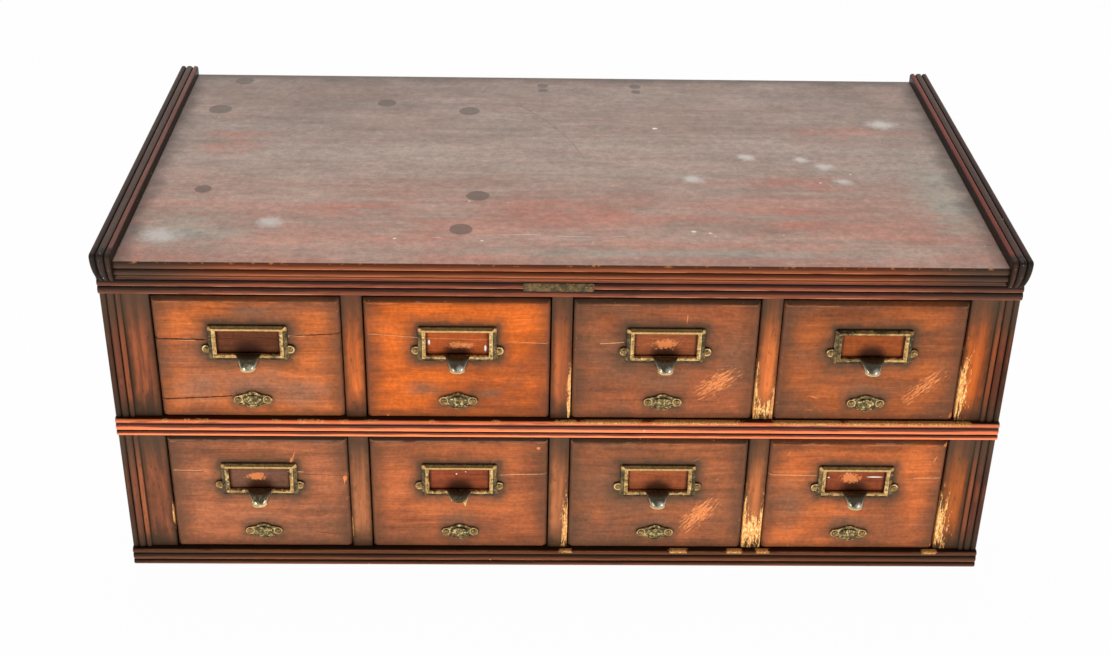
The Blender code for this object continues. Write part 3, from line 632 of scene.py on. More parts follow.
    # Wear: scuffs, patches rubbed bare, cracks and paint specks
    bare = []
    if look["patches"]:
        bare.append(addPatches(bench, coords, look["patches"]))
    chips = bench.cloud(coords, 210.0, 4.0, 0.7)
    onEdge = bench.fade(border["Distance"], chamfer + 0.0004, chamfer - 0.0012)
    bare.append(onEdge * bench.fade(chips, 0.655, 0.7))
    rubbed = bench.strongest(bare)
    colour = bench.mix(rubbed, colour, bench.mix(bench.fade(mottle, 0.56, 0.72), freshScratch, bareWood))
    if look["scuffs"]:
        scuffed = addScuffs(bench, coords, look["scuffs"])
        colour = bench.mix(scuffed * 0.95, colour, frontFinish["scuff"])
        rubbed = bench.larger(rubbed, scuffed)
    gaps = []
    for start, end, width, wander in look["paleCracks"]:
        mark = bench.use(crackGroup, Vector=coords, Start=mm(*start), End=mm(*end), Width=width / 1000,
                         Wander=wander / 1000)
        colour = bench.mix(mark["Mask"] * 0.8, colour, frontFinish["paleCrack"])
    for start, end, width, wander in look["cracks"]:
        mark = bench.use(crackGroup, Vector=coords, Start=mm(*start), End=mm(*end), Width=width / 1000,
                         Wander=wander / 1000)
        colour = bench.mix(mark["Beside"] * 0.4, colour, look["deep"])
        colour = bench.mix(mark["Mask"], colour, sootAndShade)
        gaps.append(mark["Mask"])
    if look["paper"]:
        scraps = addPatches(bench, coords,
                            [{"ragged": 0.7, "grit": 420.0, **scrap} for scrap in look["paper"]])
        colour = bench.mix(scraps, colour, frontFinish["paper"])
    dots = bench.use(speckGroup, Vector=coords, Scale=80.0, Size=0.052, Chance=0.15)["Mask"]
    colour = bench.mix(dots * 0.85, colour, frontFinish["speck"])
    pits = bench.use(speckGroup, Vector=bench.move("ADD", coords, (3.1, 1.7, 2.3)), Scale=95.0, Size=0.085,
                     Chance=0.16)["Mask"]
    colour = bench.mix(pits * 0.6, colour, sootAndShade)
    bench.feed(shader.inputs["Base Color"], colour)
    worn = bench.larger(rubbed, bench.larger(halo, shade))
    smooth, rough = frontFinish["roughness"]
    sheen = worn * 0.25 + bench.span(blotch, 0.3, 0.7, smooth, rough)
    bench.feed(shader.inputs["Roughness"], sheen)
    shader.inputs["Specular IOR Level"].default_value = frontFinish["specular"]
    height = grain["Streak"] * 0.2 - grain["Pore"] * 0.3
    height = height - rubbed * 0.7
    if gaps:
        height = height - bench.strongest(gaps) * 2.0
    addBump(bench, shader, height, frontFinish["bump"], 0.0004)
    return material


frontMaterials = {name: makeFrontWood(name, look) for name, look in frontLooks.items()}
print("drawer fronts coloured")

# Case wood: one look for each board, with the direction of its grain and its reeds
alongX, alongY, alongZ = (0.05, 1.0, 1.0), (1.0, 0.05, 1.0), (1.0, 1.0, 0.05)
lowerShades = {"lower_left_stile": (1.18, 1.22, 1.22), "lower_divider_1": (0.70, 1.02, 1.80),
               "lower_divider_2": (1.17, 1.48, 1.70), "lower_divider_3": (0.70, 0.84, 1.14),
               "lower_right_stile": (0.84, 0.98, 1.20)}
caseLooks = {
    "middle_shelf": {"light": (0.62, 0.150, 0.052), "deep": (0.30, 0.066, 0.026), "reeds": "z",
                     "along": alongX, "grooves": (0.00575, 0.01325), "groove": 0.95, "ledgeWear": True,
                     "seed": 11.0, "crest": 0.0, "upper": (0.19, 0.066, 0.046),
                     "lower": (0.98, 0.230, 0.082), "lineShare": 0.5, "darkerEnds": 0.0},
    "upper_board": {"light": (0.20, 0.050, 0.022), "deep": (0.085, 0.026, 0.013), "reeds": "z",
                    "along": alongX, "grooves": (0.00795, 0.01505), "groove": 0.9, "seed": 12.0,
                    "crest": 0.0, "upper": (0.072, 0.032, 0.024), "lower": (0.25, 0.067, 0.033),
                    "lineShare": 0.35, "darkerEnds": 0.6},
    "base_board": {"light": (0.14, 0.036, 0.012), "deep": (0.050, 0.018, 0.008), "reeds": "z",
                   "along": alongX, "grooves": (0.00575, 0.01325), "groove": 0.9, "ledgeWear": True,
                   "seed": 13.0, "crest": 0.0, "upper": (0.058, 0.027, 0.014),
                   "lower": (0.165, 0.050, 0.020), "lineShare": 0.16, "darkerEnds": 0.3},
    "left_cap": {"light": (0.10, 0.036, 0.025), "deep": (0.022, 0.012, 0.009), "reeds": "x",
                 "along": alongY, "grooves": (0.00575, 0.01325), "groove": 0.97, "seed": 14.0, "crest": 0.4,
                 "tones": ((0.054, 0.034, 0.027), (0.108, 0.072, 0.058), (0.23, 0.092, 0.067)),
                 "front": True},
    "right_cap": {"light": (0.12, 0.036, 0.022), "deep": (0.025, 0.012, 0.008), "reeds": "x",
                  "along": alongY, "grooves": (0.00575, 0.01325), "groove": 0.97, "seed": 15.0,
                  "crest": 0.4,
                  "tones": ((0.056, 0.029, 0.021), (0.100, 0.058, 0.045), (0.26, 0.058, 0.036)),
                  "front": True},
    "left_stile": {"light": (0.39, 0.104, 0.037), "deep": (0.11, 0.038, 0.020), "reeds": "x",
                   "along": alongZ, "grooves": (0.00575, 0.01325), "groove": 0.9, "seed": 16.0,
                   "crest": 0.2, "ends": True,
                   "tones": ((0.040, 0.020, 0.013), (0.130, 0.042, 0.022), (0.28, 0.078, 0.030))},
    "right_stile": {"light": (0.60, 0.128, 0.0185), "deep": (0.20, 0.049, 0.0118), "reeds": "x",
                    "along": alongZ, "grooves": (0.00575, 0.01325), "groove": 0.9, "seed": 16.5,
                    "crest": 0.2, "ends": True,
                    "tones": ((0.044, 0.018, 0.011), (0.105, 0.031, 0.016), (0.28, 0.072, 0.024))},
    "divider_1": {"light": (0.80, 0.184, 0.035), "deep": (0.34, 0.084, 0.022), "reeds": None,
                  "along": alongZ, "seed": 17.0, "ends": True},
    "divider_2": {"light": (0.50, 0.130, 0.037), "deep": (0.224, 0.062, 0.023), "reeds": None,
                  "along": alongZ, "seed": 17.4, "ends": True},
    "divider_3": {"light": (0.80, 0.204, 0.046), "deep": (0.35, 0.096, 0.028), "reeds": None,
                  "along": alongZ, "seed": 17.8, "ends": True},
    "side": {"light": (0.19, 0.066, 0.036), "deep": (0.085, 0.033, 0.019), "reeds": None, "along": alongZ,
             "seed": 18.0},
}

# Dirt, rubbing, bare wood and painted light (glints, highlight lines, shade at the feet and beside the
# drawers) that the case boards share
caseFinish = {"specular": 0.07, "nose": (0.020, 0.016, 0.012), "glint": (0.62, 0.58, 0.54),
              "line": (0.86, 0.38, 0.18), "darkerEnds": (0.042, 0.030, 0.021), "blots": (0.055, 0.028, 0.014),
              "border": (0.045, 0.026, 0.013), "head": (0.078, 0.047, 0.028),
              "foot": (0.044, 0.029, 0.017), "bare": (0.90, 0.44, 0.11), "bareBright": (1.0, 0.72, 0.30),
              "speck": (0.85, 0.75, 0.66)}


def makeCaseWood(name, look, wear=()):
    material, bench, shader, coords = startMaterial(f"{name}_wood")
    x, y, z = bench.split(coords)
    grain = bench.use(grainGroup, Vector=coords, Along=look["along"], Seed=look["seed"])
    tone = grain["Cloud"] * 0.5 + grain["Figure"] * 0.5
    colour = bench.mix(bench.fade(tone, 0.36, 0.64), look["deep"], look["light"])
    streaks = bench.fade(grain["Streak"], 0.5, 0.7) * 0.4
    colour = bench.mix(streaks, colour, look["deep"])
    if look["reeds"]:
        if look["reeds"] == "z":
            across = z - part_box(name)[0].z
        else:
            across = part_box("right_cap")[1].x - abs(x)
        firstGroove, secondGroove = look["grooves"]
        lines = bench.use(grooveGroup, Across=across, First=firstGroove, Second=secondGroove)
        streaky = bench.span(tone, 0.3, 0.7, 0.7, 1.3)
        if "tones" in look:
            outer, middle, inner = look["tones"]
            tones = bench.mix(bench.fade(lines["Reed"], 0.4, 0.6), outer, middle)
            tones = bench.mix(bench.fade(lines["Reed"], 1.4, 1.6), tones, inner)
            onReeds = bench.fade(across, 0.0194, 0.0188)
            colour = bench.mix(onReeds * 0.9, colour, bench.tinted(tones, streaky))
        if "front" in look:
            # Over the nose the caps are nearly black
            nose = bench.fade(y, -0.212, -0.219)
            colour = bench.mix(nose * 0.85, colour, caseFinish["nose"])
            # Painted highlights: small pale glints on the reed crests over the nose
            glints = (bench.fade(bench.cloud(coords, 520.0, 3.0, 0.6), 0.64, 0.7)
                      * (bench.fade(y, -0.214, -0.22) * lines["Crest"]))
            colour = bench.mix(glints * 0.7, colour, caseFinish["glint"])
        rub = lines["Crest"] * bench.fade(bench.cloud(coords, 35.0, 4.0), 0.42, 0.62)
        colour = bench.mix(rub * look["crest"], colour, look["light"])
        if "lower" in look:
            # Painted light: the lower part of each reed is lit and redder and the upper part shaded, with a
            # painted highlight line along its lower edge; the ledge's reed is the other way up
            patchy = bench.stretched(coords, (0.2, 1.0, 1.0), 110.0, 4.0, 0.65)
            flip = bench.fade(lines["Reed"], 1.4, 1.6)
            turned = 1.0 - lines["Climb"] * 2.0
            climb = flip * turned + lines["Climb"]
            ragged = (patchy - 0.5) * 0.5 + climb
            pair = bench.mix(bench.fade(ragged, 0.70, 0.50), look["upper"], look["lower"])
            colour = bench.mix(0.9, colour, bench.tinted(pair, streaky))
            line = bench.fade(climb, 0.32, 0.2) * bench.fade(patchy, 0.44, 0.6)
            colour = bench.mix(line * look["lineShare"], colour, caseFinish["line"])
            # Darker towards the ends of the board
            darkerEnds = bench.fade(abs(x), 0.27, 0.4) * look["darkerEnds"]
            colour = bench.mix(darkerEnds, colour, caseFinish["darkerEnds"])
            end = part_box(name)[1].x
            plain = bench.larger(bench.fade(y, 0.05, 0.15), bench.fade(abs(x), end - 0.0008, end - 0.0003))
            colour = bench.mix(plain, colour, look["deep"])
        dents = bench.fade(bench.stretched(coords, look["along"], 420.0, 3.0, 0.7), 0.6, 0.7)
        colour = bench.mix(dents * 0.5, colour, sootAndShade)
        # Dirt and painted shade in the grooves between the reeds
        colour = bench.mix(lines["Groove"] * look["groove"], colour, sootAndShade)
    if look.get("ends"):
        if name in lowerShades:
            colour = bench.tinted(colour, lowerShades[name])
        # Grime at the head of an upright; painted shade at its foot and where its face meets the drawers
        low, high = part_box(name)
        grit = (bench.cloud(coords, 90.0, 4.0, 0.65) - 0.5) * 0.02
        toFoot = z - low.z + grit
        toHead = high.z - z + grit
        inner, outer = sorted((abs(low.x), abs(high.x))) if look["reeds"] else (low.x, high.x)
        spot = abs(x) if look["reeds"] else x
        outer = outer - 0.0195 if look["reeds"] else outer
        toEdge = bench.smaller(spot - inner, outer - spot)
        onFace = bench.fade(toEdge, -0.0006, 0.0)
        core = bench.fade(toEdge, 0.003, 0.008) * bench.fade(grain["Figure"], 0.42, 0.62)
        colour = bench.mix(core * (0.08 if name in lowerShades else 0.5), colour, look["light"])
        blots = bench.fade(bench.stretched(coords, (1.0, 1.0, 0.35), 240.0, 4.0, 0.7), 0.56, 0.68)
        colour = bench.mix(blots * 0.55, colour, caseFinish["blots"])
        border = bench.fade(grit * 0.3 + toEdge, 0.006, 0.0) * onFace
        colour = bench.mix(border * 0.75, colour, caseFinish["border"])
        colour = bench.mix(bench.fade(toHead, 0.062, 0.004) * 0.85, colour, caseFinish["head"])
        colour = bench.mix(bench.fade(toFoot, 0.034, 0.003) * 0.85, colour, caseFinish["foot"])
    masks = []
    if wear:
        masks.append(addPatches(bench, coords, wear))
    if look.get("ledgeWear"):
        masks.append(addLedgeWear(bench, coords, y, z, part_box(name)[1].z, ledgeMarks[name]))
    if masks:
        bare = bench.strongest(masks)
        flecks = bench.stretched(coords, (1.0, 1.0, 0.4), 700.0, 3.0, 0.7)
        paleness = bench.mix(bench.fade(flecks, 0.38, 0.54), freshScratch, caseFinish["bare"])
        paleness = bench.mix(bench.fade(flecks, 0.50, 0.60), paleness, caseFinish["bareBright"])
        colour = bench.mix(bare * 0.95, colour, paleness)
    dots = bench.use(speckGroup, Vector=coords, Scale=75.0, Size=0.06, Chance=0.05)["Mask"]
    colour = bench.mix(dots * 0.8, colour, caseFinish["speck"])
    bench.feed(shader.inputs["Base Color"], colour)
    bench.feed(shader.inputs["Roughness"], bench.span(grain["Cloud"], 0.3, 0.7, 0.30, 0.46))
    shader.inputs["Specular IOR Level"].default_value = caseFinish["specular"]
    height = grain["Streak"] * 0.25 - grain["Pore"] * 0.4
    addBump(bench, shader, height, 0.3, 0.0004)
    return material


# Bare wood on the ledges that the drawers slide over: place along X and half length, in mm
ledgeMarks = {
    "middle_shelf": [(-372, 5), (-351, 4), (-338, 9), (-268, 6), (-236, 18), (-205, 7), (-178, 9),
                     (-121, 4), (-60, 6), (6, 14), (48, 40), (128, 58), (236, 46), (300, 40), (352, 34),
                     (384, 10)],
    "base_board": [(8, 9), (176, 10), (204, 9), (371, 10), (120, 12)],
}


def addLedgeWear(bench, coords, y, z, top, marks):
    # The marks say where the wood is rubbed, the noise what shape the bare strips take
    x, _, _ = bench.split(coords)
    behind = bench.span(x, -0.1, 0.1, -0.2122, -0.2094)
    onTop = bench.fade(z, top - 0.0026, top - 0.0016) * bench.fade(y - behind, 0.0, -0.0008)
    rubbed = bench.strongest([bench.use(
        patchGroup, Vector=coords, Centre=(place / 1000, -0.2125, top),
        Size=(reach / 1000, 0.012, throughDepth), Ragged=0.3, Grit=80.0, Soft=0.5)["Mask"]
                              for place, reach in marks])
    strips = bench.stretched(coords, (0.45, 1.0, 1.0), 820.0, 6.0, 0.8)
    reach = bench.span(x, -0.02, 0.04, 0.16, 0.27)
    shape = bench.fade(rubbed * reach + strips, 0.645, 0.668)
    return shape * onTop * bench.fade(rubbed, 0.0, 0.15)


upright = (1.0, 1.0, 0.16)
dividerWear = {
    "upper_divider_1": [],
    "upper_divider_2": [{"at": (9.2, 196.8), "size": (3.2, 34), "ragged": 3.0, "stretch": upright,
                         "grit": 460.0}],
    "upper_divider_3": [{"at": (183.2, 199.8), "size": (2.4, 30), "ragged": 4.4, "stretch": upright,
                         "grit": 620.0},
                        {"at": (202.4, 190.8), "size": (3.0, 26), "ragged": 4.4, "stretch": upright,
                         "grit": 620.0},
                        {"at": (192, 181.8), "size": (9.0, 10), "ragged": 6.5, "stretch": upright,
                         "grit": 380.0}],
    "lower_divider_1": [{"at": (-202.4, 41.8), "size": (1.2, 16), "ragged": 3.2, "stretch": upright}],
    "lower_divider_2": [{"at": (8.0, 42.8), "size": (3.4, 28), "ragged": 5.0, "stretch": upright,
                         "grit": 640.0}],
    "lower_divider_3": [{"at": (183.6, 45.8), "size": (2.4, 34), "ragged": 3.8, "stretch": upright,
                         "grit": 560.0},
                        {"at": (201.4, 46.8), "size": (2.4, 28), "ragged": 3.8, "stretch": upright,
                         "grit": 560.0},
                        {"at": (192, 38.8), "size": (9.0, 18), "ragged": 6.5, "stretch": upright,
                         "grit": 380.0}],
}
stileWear = {
    "upper_right_stile": [{"at": (376, 204.8), "size": (7.0, 32), "ragged": 4.8, "stretch": upright,
                           "grit": 420.0}],
    "lower_right_stile": [{"at": (376, 47.8), "size": (8.0, 30), "ragged": 4.8, "stretch": upright,
                           "grit": 420.0}],
    "upper_left_stile": [],
    "lower_left_stile": [{"at": (-375.4, 53.8), "size": (1.4, 14), "ragged": 3.2, "stretch": upright}],
}

# Top board: dull mauve-brown top with ring marks, reeded front edge like the rails
topLook = {
    "light": (0.445, 0.335, 0.280), "deep": (0.340, 0.250, 0.205), "red": (0.50, 0.215, 0.160),
    "grey": (0.36, 0.34, 0.280), "dim": (0.265, 0.200, 0.160), "front": (0.150, 0.042, 0.017),
    "lower": (0.27, 0.076, 0.031), "line": (0.66, 0.24, 0.10), "grooves": (0.00455, 0.01105),
    "paintedSheen": (0.034, 0.034, 0.034), "specular": 0.06, "haze": (0.46, 0.365, 0.31),
    "blush": (1.08, 0.95, 0.90), "dirtAndShade": (0.055, 0.045, 0.038), "stain": (0.105, 0.078, 0.060),
    "smudge": (0.70, 0.64, 0.59), "scratch": (0.62, 0.46, 0.40), "dent": (0.13, 0.085, 0.07),
    "nick": (0.86, 0.80, 0.75), "chip": (0.92, 0.88, 0.82), "speck": (0.80, 0.70, 0.64),
    "darkerEnds": (0.046, 0.034, 0.024), "bareEdge": (0.62, 0.22, 0.07),
    "redPlaces": [((-1, -109), (170, 50)), ((170, -125), (190, 50)), ((-199, -115), (110, 36)),
                  ((250, -50), (150, 40)), ((-330, 60), (50, 70)), ((310, 60), (80, 90))],
    "greyPlaces": [((-350, -165), (90, 60)), ((-330, -165), (70, 40)), ((372, -80), (50, 140)),
                   ((120, -199), (300, 14))],
    "dimPlaces": [((-230, 160), (190, 75)), ((330, 165), (120, 60)), ((0, -92), (150, 34)),
                  ((200, -150), (160, 18))],
    "chips": [(122, -154, 2.6), (137, -157, 1.6), (141, -163, 1.2), (-154, -173, 1.8), (-74, -176, 1.6),
              (102, 88, 3.0), (257, -44, 1.4), (290, -24, 1.2), (205, -160, 1.0), (-88, -93, 1.3)],
    "nicks": [((-60, -164), (-20, -162), 0.8), ((-8, -166), (26, -167), 0.9), ((44, -166), (60, -164), 0.7),
              ((262, -38), (268, -56), 1.0), ((-120, -170), (-112, -170), 0.9)],
    "dents": [((-40, 149), (-13, 108), 1.6), ((-13, 108), (12, 56), 1.8), ((12, 56), (26, 6), 1.8),
              ((-82, 180), (-74, 205), 2.0), ((-62, 150), (-30, 141), 0.9), ((-50, 128), (-20, 124), 0.8)],
    "rings": [(-360, 129, 13), (-346, 211, 11), (-184, 151, 11), (-94, 131, 12), (-80, -81, 12),
              (-94, -153, 12), (-345, -71, 9), (-15, 206, 7), (-15, 192, 6), (88, 206, 7), (88, 190, 6)],
    "smudges": [(189, 17, 15), (245, 11, 13), (267, -6, 14), (280, -41, 13), (131, -38, 16), (344, 104, 22),
                (-368, -170, 26), (-271, -142, 18)],
    "scratches": [(-14, 95, 60, 62), (150, -120, 70, 10), (-150, -60, 60, -20), (60, -160, 80, 5),
                  (250, -90, 60, 25), (-230, -120, 50, 12)],
}


def addFlatPatch(bench, coords, place, size, turn=0.0, ragged=0.5, grit=90.0, soft=0.3):
    return bench.use(patchGroup, Vector=coords, Centre=(place[0] / 1000, place[1] / 1000, 0.0),
                     Size=(size[0] / 1000, size[1] / 1000, throughDepth), Turn=(0.0, 0.0, radians(turn)),
                     Ragged=ragged, Grit=grit, Soft=soft)["Mask"]


def makeTopWood(look):
    material, bench, shader, coords = startMaterial("top_mahogany")
    low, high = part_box("top_board")
    x, y, z = bench.split(coords)
    grain = bench.use(grainGroup, Vector=coords, Along=alongX, Seed=21.0)
    tone = grain["Cloud"] * 0.6 + grain["Figure"] * 0.4
    colour = bench.mix(bench.fade(tone, 0.35, 0.65), look["deep"], look["light"])
    reds = bench.stretched(coords, (0.18, 1.0, 1.0), 26.0, 4.0, 0.6)
    fineReds = bench.stretched(coords, (0.25, 1.0, 1.0), 120.0, 5.0, 0.7)
    haze = bench.cloud(coords, 7.0, 4.0, 0.6)
    broad = {kind: bench.strongest([addFlatPatch(bench, coords, place, size, 0.0, 0.9, 22.0, 0.95)
                                    for place, size in look[f"{kind}Places"]])
             for kind in ("red", "grey", "dim")}
    # Painted reflection: a grey sheen over the grey places
    colour = bench.mix(broad["grey"] * 0.8, colour, look["grey"])
    colour = bench.mix(broad["dim"] * 0.6, colour, look["dim"])
    forward = bench.fade(y, 0.02, -0.17)
    reddish = bench.larger(broad["red"], forward * 0.5)
    reddish = reddish * (1.0 - broad["grey"] * 0.8)
    redStreaks = bench.fade(fineReds * 0.6 + reds, 0.66, 0.94) * (reddish * 0.85 + 0.15)
    colour = bench.mix(redStreaks, colour, look["red"])
    colour = bench.mix(bench.fade(haze, 0.45, 0.7) * 0.35, colour, look["haze"])
    colour = bench.tinted(colour, bench.span(y, 0.2, -0.2, 0.86, 1.14))
    blush = forward * (1.0 - broad["grey"])
    colour = bench.mix(blush, colour, bench.tinted(colour, look["blush"]))
    mottle = (bench.span(bench.cloud(coords, 150.0, 5.0, 0.75), 0.3, 0.7, 0.78, 1.22)
              * bench.span(grain["Streak"], 0.3, 0.7, 0.94, 1.06))
    colour = bench.tinted(colour, mottle)
    drift = bench.stretched(coords, (0.4, 1.0, 1.0), 42.0, 5.0, 0.68)
    colour = bench.tinted(colour, bench.span(drift, 0.3, 0.7, 0.84, 1.16))
    # Grime and painted shade beside the end caps, grime along the back
    grit = (bench.cloud(coords, 40.0, 4.0) - 0.5) * 0.03
    sideGap = high.x - abs(x) + grit
    backGap = high.y - y + grit
    dirtAndShade = bench.larger(bench.fade(sideGap, 0.022, 0.0), bench.fade(backGap, 0.03, 0.0))
    colour = bench.mix(dirtAndShade * 0.6, colour, look["dirtAndShade"])
    rings = [addFlatPatch(bench, coords, (px, py), (reach, reach), 0.0, 0.3, 70.0, 0.16)
             for px, py, reach in look["rings"]]
    stain = bench.strongest(rings)
    colour = bench.mix(stain * 0.68, colour, look["stain"])
    smudges = [addFlatPatch(bench, coords, (px, py), (reach, 0.8 * reach), 20.0, 1.3, 70.0, 0.9)
               for px, py, reach in look["smudges"]]
    pale = bench.strongest(smudges)
    colour = bench.mix(pale * 0.85, colour, look["smudge"])
    lines = []
    for px, py, reach, turn in look["scratches"]:
        lines.append(bench.use(scuffGroup, Vector=coords, Centre=(px / 1000, py / 1000, 0.0),
                               Size=(reach / 1000, 0.02, throughDepth), Turn=(0.0, 0.0, radians(turn)),
                               Fill=0.37, Fine=240.0)["Mask"])
    scratched = bench.strongest(lines)
    colour = bench.mix(scratched * 0.4, colour, look["scratch"])
    # Thin lines are drawn in plan, so Y stands in for the height
    plan = bench.join(x, 0.0, y)
    for kind, tint in (("dents", look["dent"]), ("nicks", look["nick"])):
        marks = [bench.use(crackGroup, Vector=plan, Start=mm(*start), End=mm(*end), Width=width / 1000,
                           Wander=0.003)["Mask"] for start, end, width in look[kind]]
        colour = bench.mix(bench.strongest(marks) * 0.6, colour, tint)
    chipped = bench.strongest([
        addFlatPatch(bench, coords, (px, py), (reach, 0.8 * reach), 0.0, 1.2, 420.0, 0.2)
        for px, py, reach in look["chips"]])
    colour = bench.mix(chipped * 0.9, colour, look["chip"])
    dots = bench.use(speckGroup, Vector=coords, Scale=75.0, Size=0.065, Chance=0.20)["Mask"]
    colour = bench.mix(dots * 0.8, colour, look["speck"])
    # Painted sheen: a pale reflection added over the whole top
    colour = bench.mix(1.0, colour, look["paintedSheen"], "ADD")
    # Reeded front edge, painted like the rails: the lower part of each reed lit, a painted highlight line,
    # and dirt and painted shade in the grooves
    across = z - low.z
    firstGroove, secondGroove = look["grooves"]
    reeds = bench.use(grooveGroup, Across=across, First=firstGroove, Second=secondGroove)
    patchy = bench.stretched(coords, (0.2, 1.0, 1.0), 110.0, 4.0, 0.65)
    ragged = (patchy - 0.5) * 0.5 + reeds["Climb"]
    edge = bench.mix(bench.fade(ragged, 0.62, 0.40), look["front"], look["lower"])
    edge = bench.tinted(edge, bench.span(tone, 0.3, 0.7, 0.7, 1.3))
    line = bench.fade(reeds["Climb"], 0.26, 0.14) * bench.fade(patchy, 0.38, 0.56)
    edge = bench.mix(line * 0.7, edge, look["line"])
    edge = bench.mix(reeds["Groove"] * 0.25, edge, sootAndShade)
    # Darker towards the ends of the board
    darkerEnds = bench.fade(abs(x), 0.27, 0.385) * 0.85
    edge = bench.mix(darkerEnds, edge, look["darkerEnds"])
    edge = bench.mix(bench.fade(y, 0.05, 0.15), edge, look["front"])
    chips = (bench.fade(bench.cloud(coords, 130.0, 4.0, 0.7), 0.55, 0.66)
             * bench.fade(z, high.z - 0.0026, high.z - 0.0006))
    edge = bench.mix(chips, edge, look["bareEdge"])
    onTop = bench.fade(z, high.z - 0.0006, high.z - 0.0002)
    colour = bench.mix(onTop, edge, colour)
    bench.feed(shader.inputs["Base Color"], colour)
    shader.inputs["Specular IOR Level"].default_value = look["specular"]
    rough = bench.span(haze, 0.3, 0.7, 0.34, 0.52) + pale * 0.15
    bench.feed(shader.inputs["Roughness"], rough - stain * 0.1)
    height = grain["Streak"] * 0.2 - scratched * 0.6
    addBump(bench, shader, height, 0.25, 0.0004)
    return material


topMaterial = makeTopWood(topLook)
caseMaterials = {name: makeCaseWood(name, caseLooks[name])
                 for name in ("middle_shelf", "upper_board", "base_board", "left_cap", "right_cap", "side")}
for wearTable in (dividerWear, stileWear):
    for name, wear in wearTable.items():
        caseMaterials[name] = makeCaseWood(name, caseLooks[name.split("_", 1)[1]], wear)
print("case wood coloured")

# Plain wood inside and behind
plainLooks = {
    "tray": {"light": (0.56, 0.36, 0.19), "deep": (0.36, 0.21, 0.10), "along": alongY, "seed": 31.0},
    "follower": {"light": (0.50, 0.30, 0.15), "deep": (0.32, 0.17, 0.08), "along": alongX, "seed": 32.0},
    "back": {"light": (0.30, 0.165, 0.085), "deep": (0.17, 0.09, 0.045), "along": alongX, "seed": 33.0},
}
plainStain = (0.16, 0.09, 0.05)


def makePlainWood(name, look):
    material, bench, shader, coords = startMaterial(f"{name}_wood")
    grain = bench.use(grainGroup, Vector=coords, Along=look["along"], Seed=look["seed"])
    tone = grain["Cloud"] * 0.5 + grain["Figure"] * 0.5
    colour = bench.mix(bench.fade(tone, 0.36, 0.64), look["deep"], look["light"])
    colour = bench.mix(bench.fade(grain["Streak"], 0.5, 0.7) * 0.4, colour, look["deep"])
    stain = bench.fade(bench.cloud(coords, 18.0, 4.0, 0.65), 0.55, 0.75)
    colour = bench.mix(stain * 0.35, colour, plainStain)
    bench.feed(shader.inputs["Base Color"], colour)
    bench.feed(shader.inputs["Roughness"], bench.span(grain["Figure"], 0.3, 0.7, 0.52, 0.7))
    height = grain["Streak"] * 0.4 - grain["Pore"] * 0.5
    addBump(bench, shader, height, 0.4, 0.0005)
    return material


plainMaterials = {name: makePlainWood(name, look) for name, look in plainLooks.items()}

# Aged brass: muted gold on the rubbed bead, dark olive on the slopes; the hoods are a smooth dark bronze
brassLook = {"gold": (0.68, 0.352, 0.108), "pale": (1.0, 0.73, 0.33), "olive": (0.24, 0.155, 0.068),
             "dark": (0.072, 0.058, 0.034), "bronze": (0.40, 0.340, 0.235), "slope": (0.28, 0.190, 0.080),
             "tarnish": (0.064, 0.048, 0.024), "hoodHighlight": (0.60, 0.57, 0.50),
             "grime": (0.088, 0.072, 0.044), "plateDull": (0.095, 0.072, 0.035),
             "plateMiddle": (0.28, 0.200, 0.086), "plateBright": (1.0, 0.72, 0.31)}


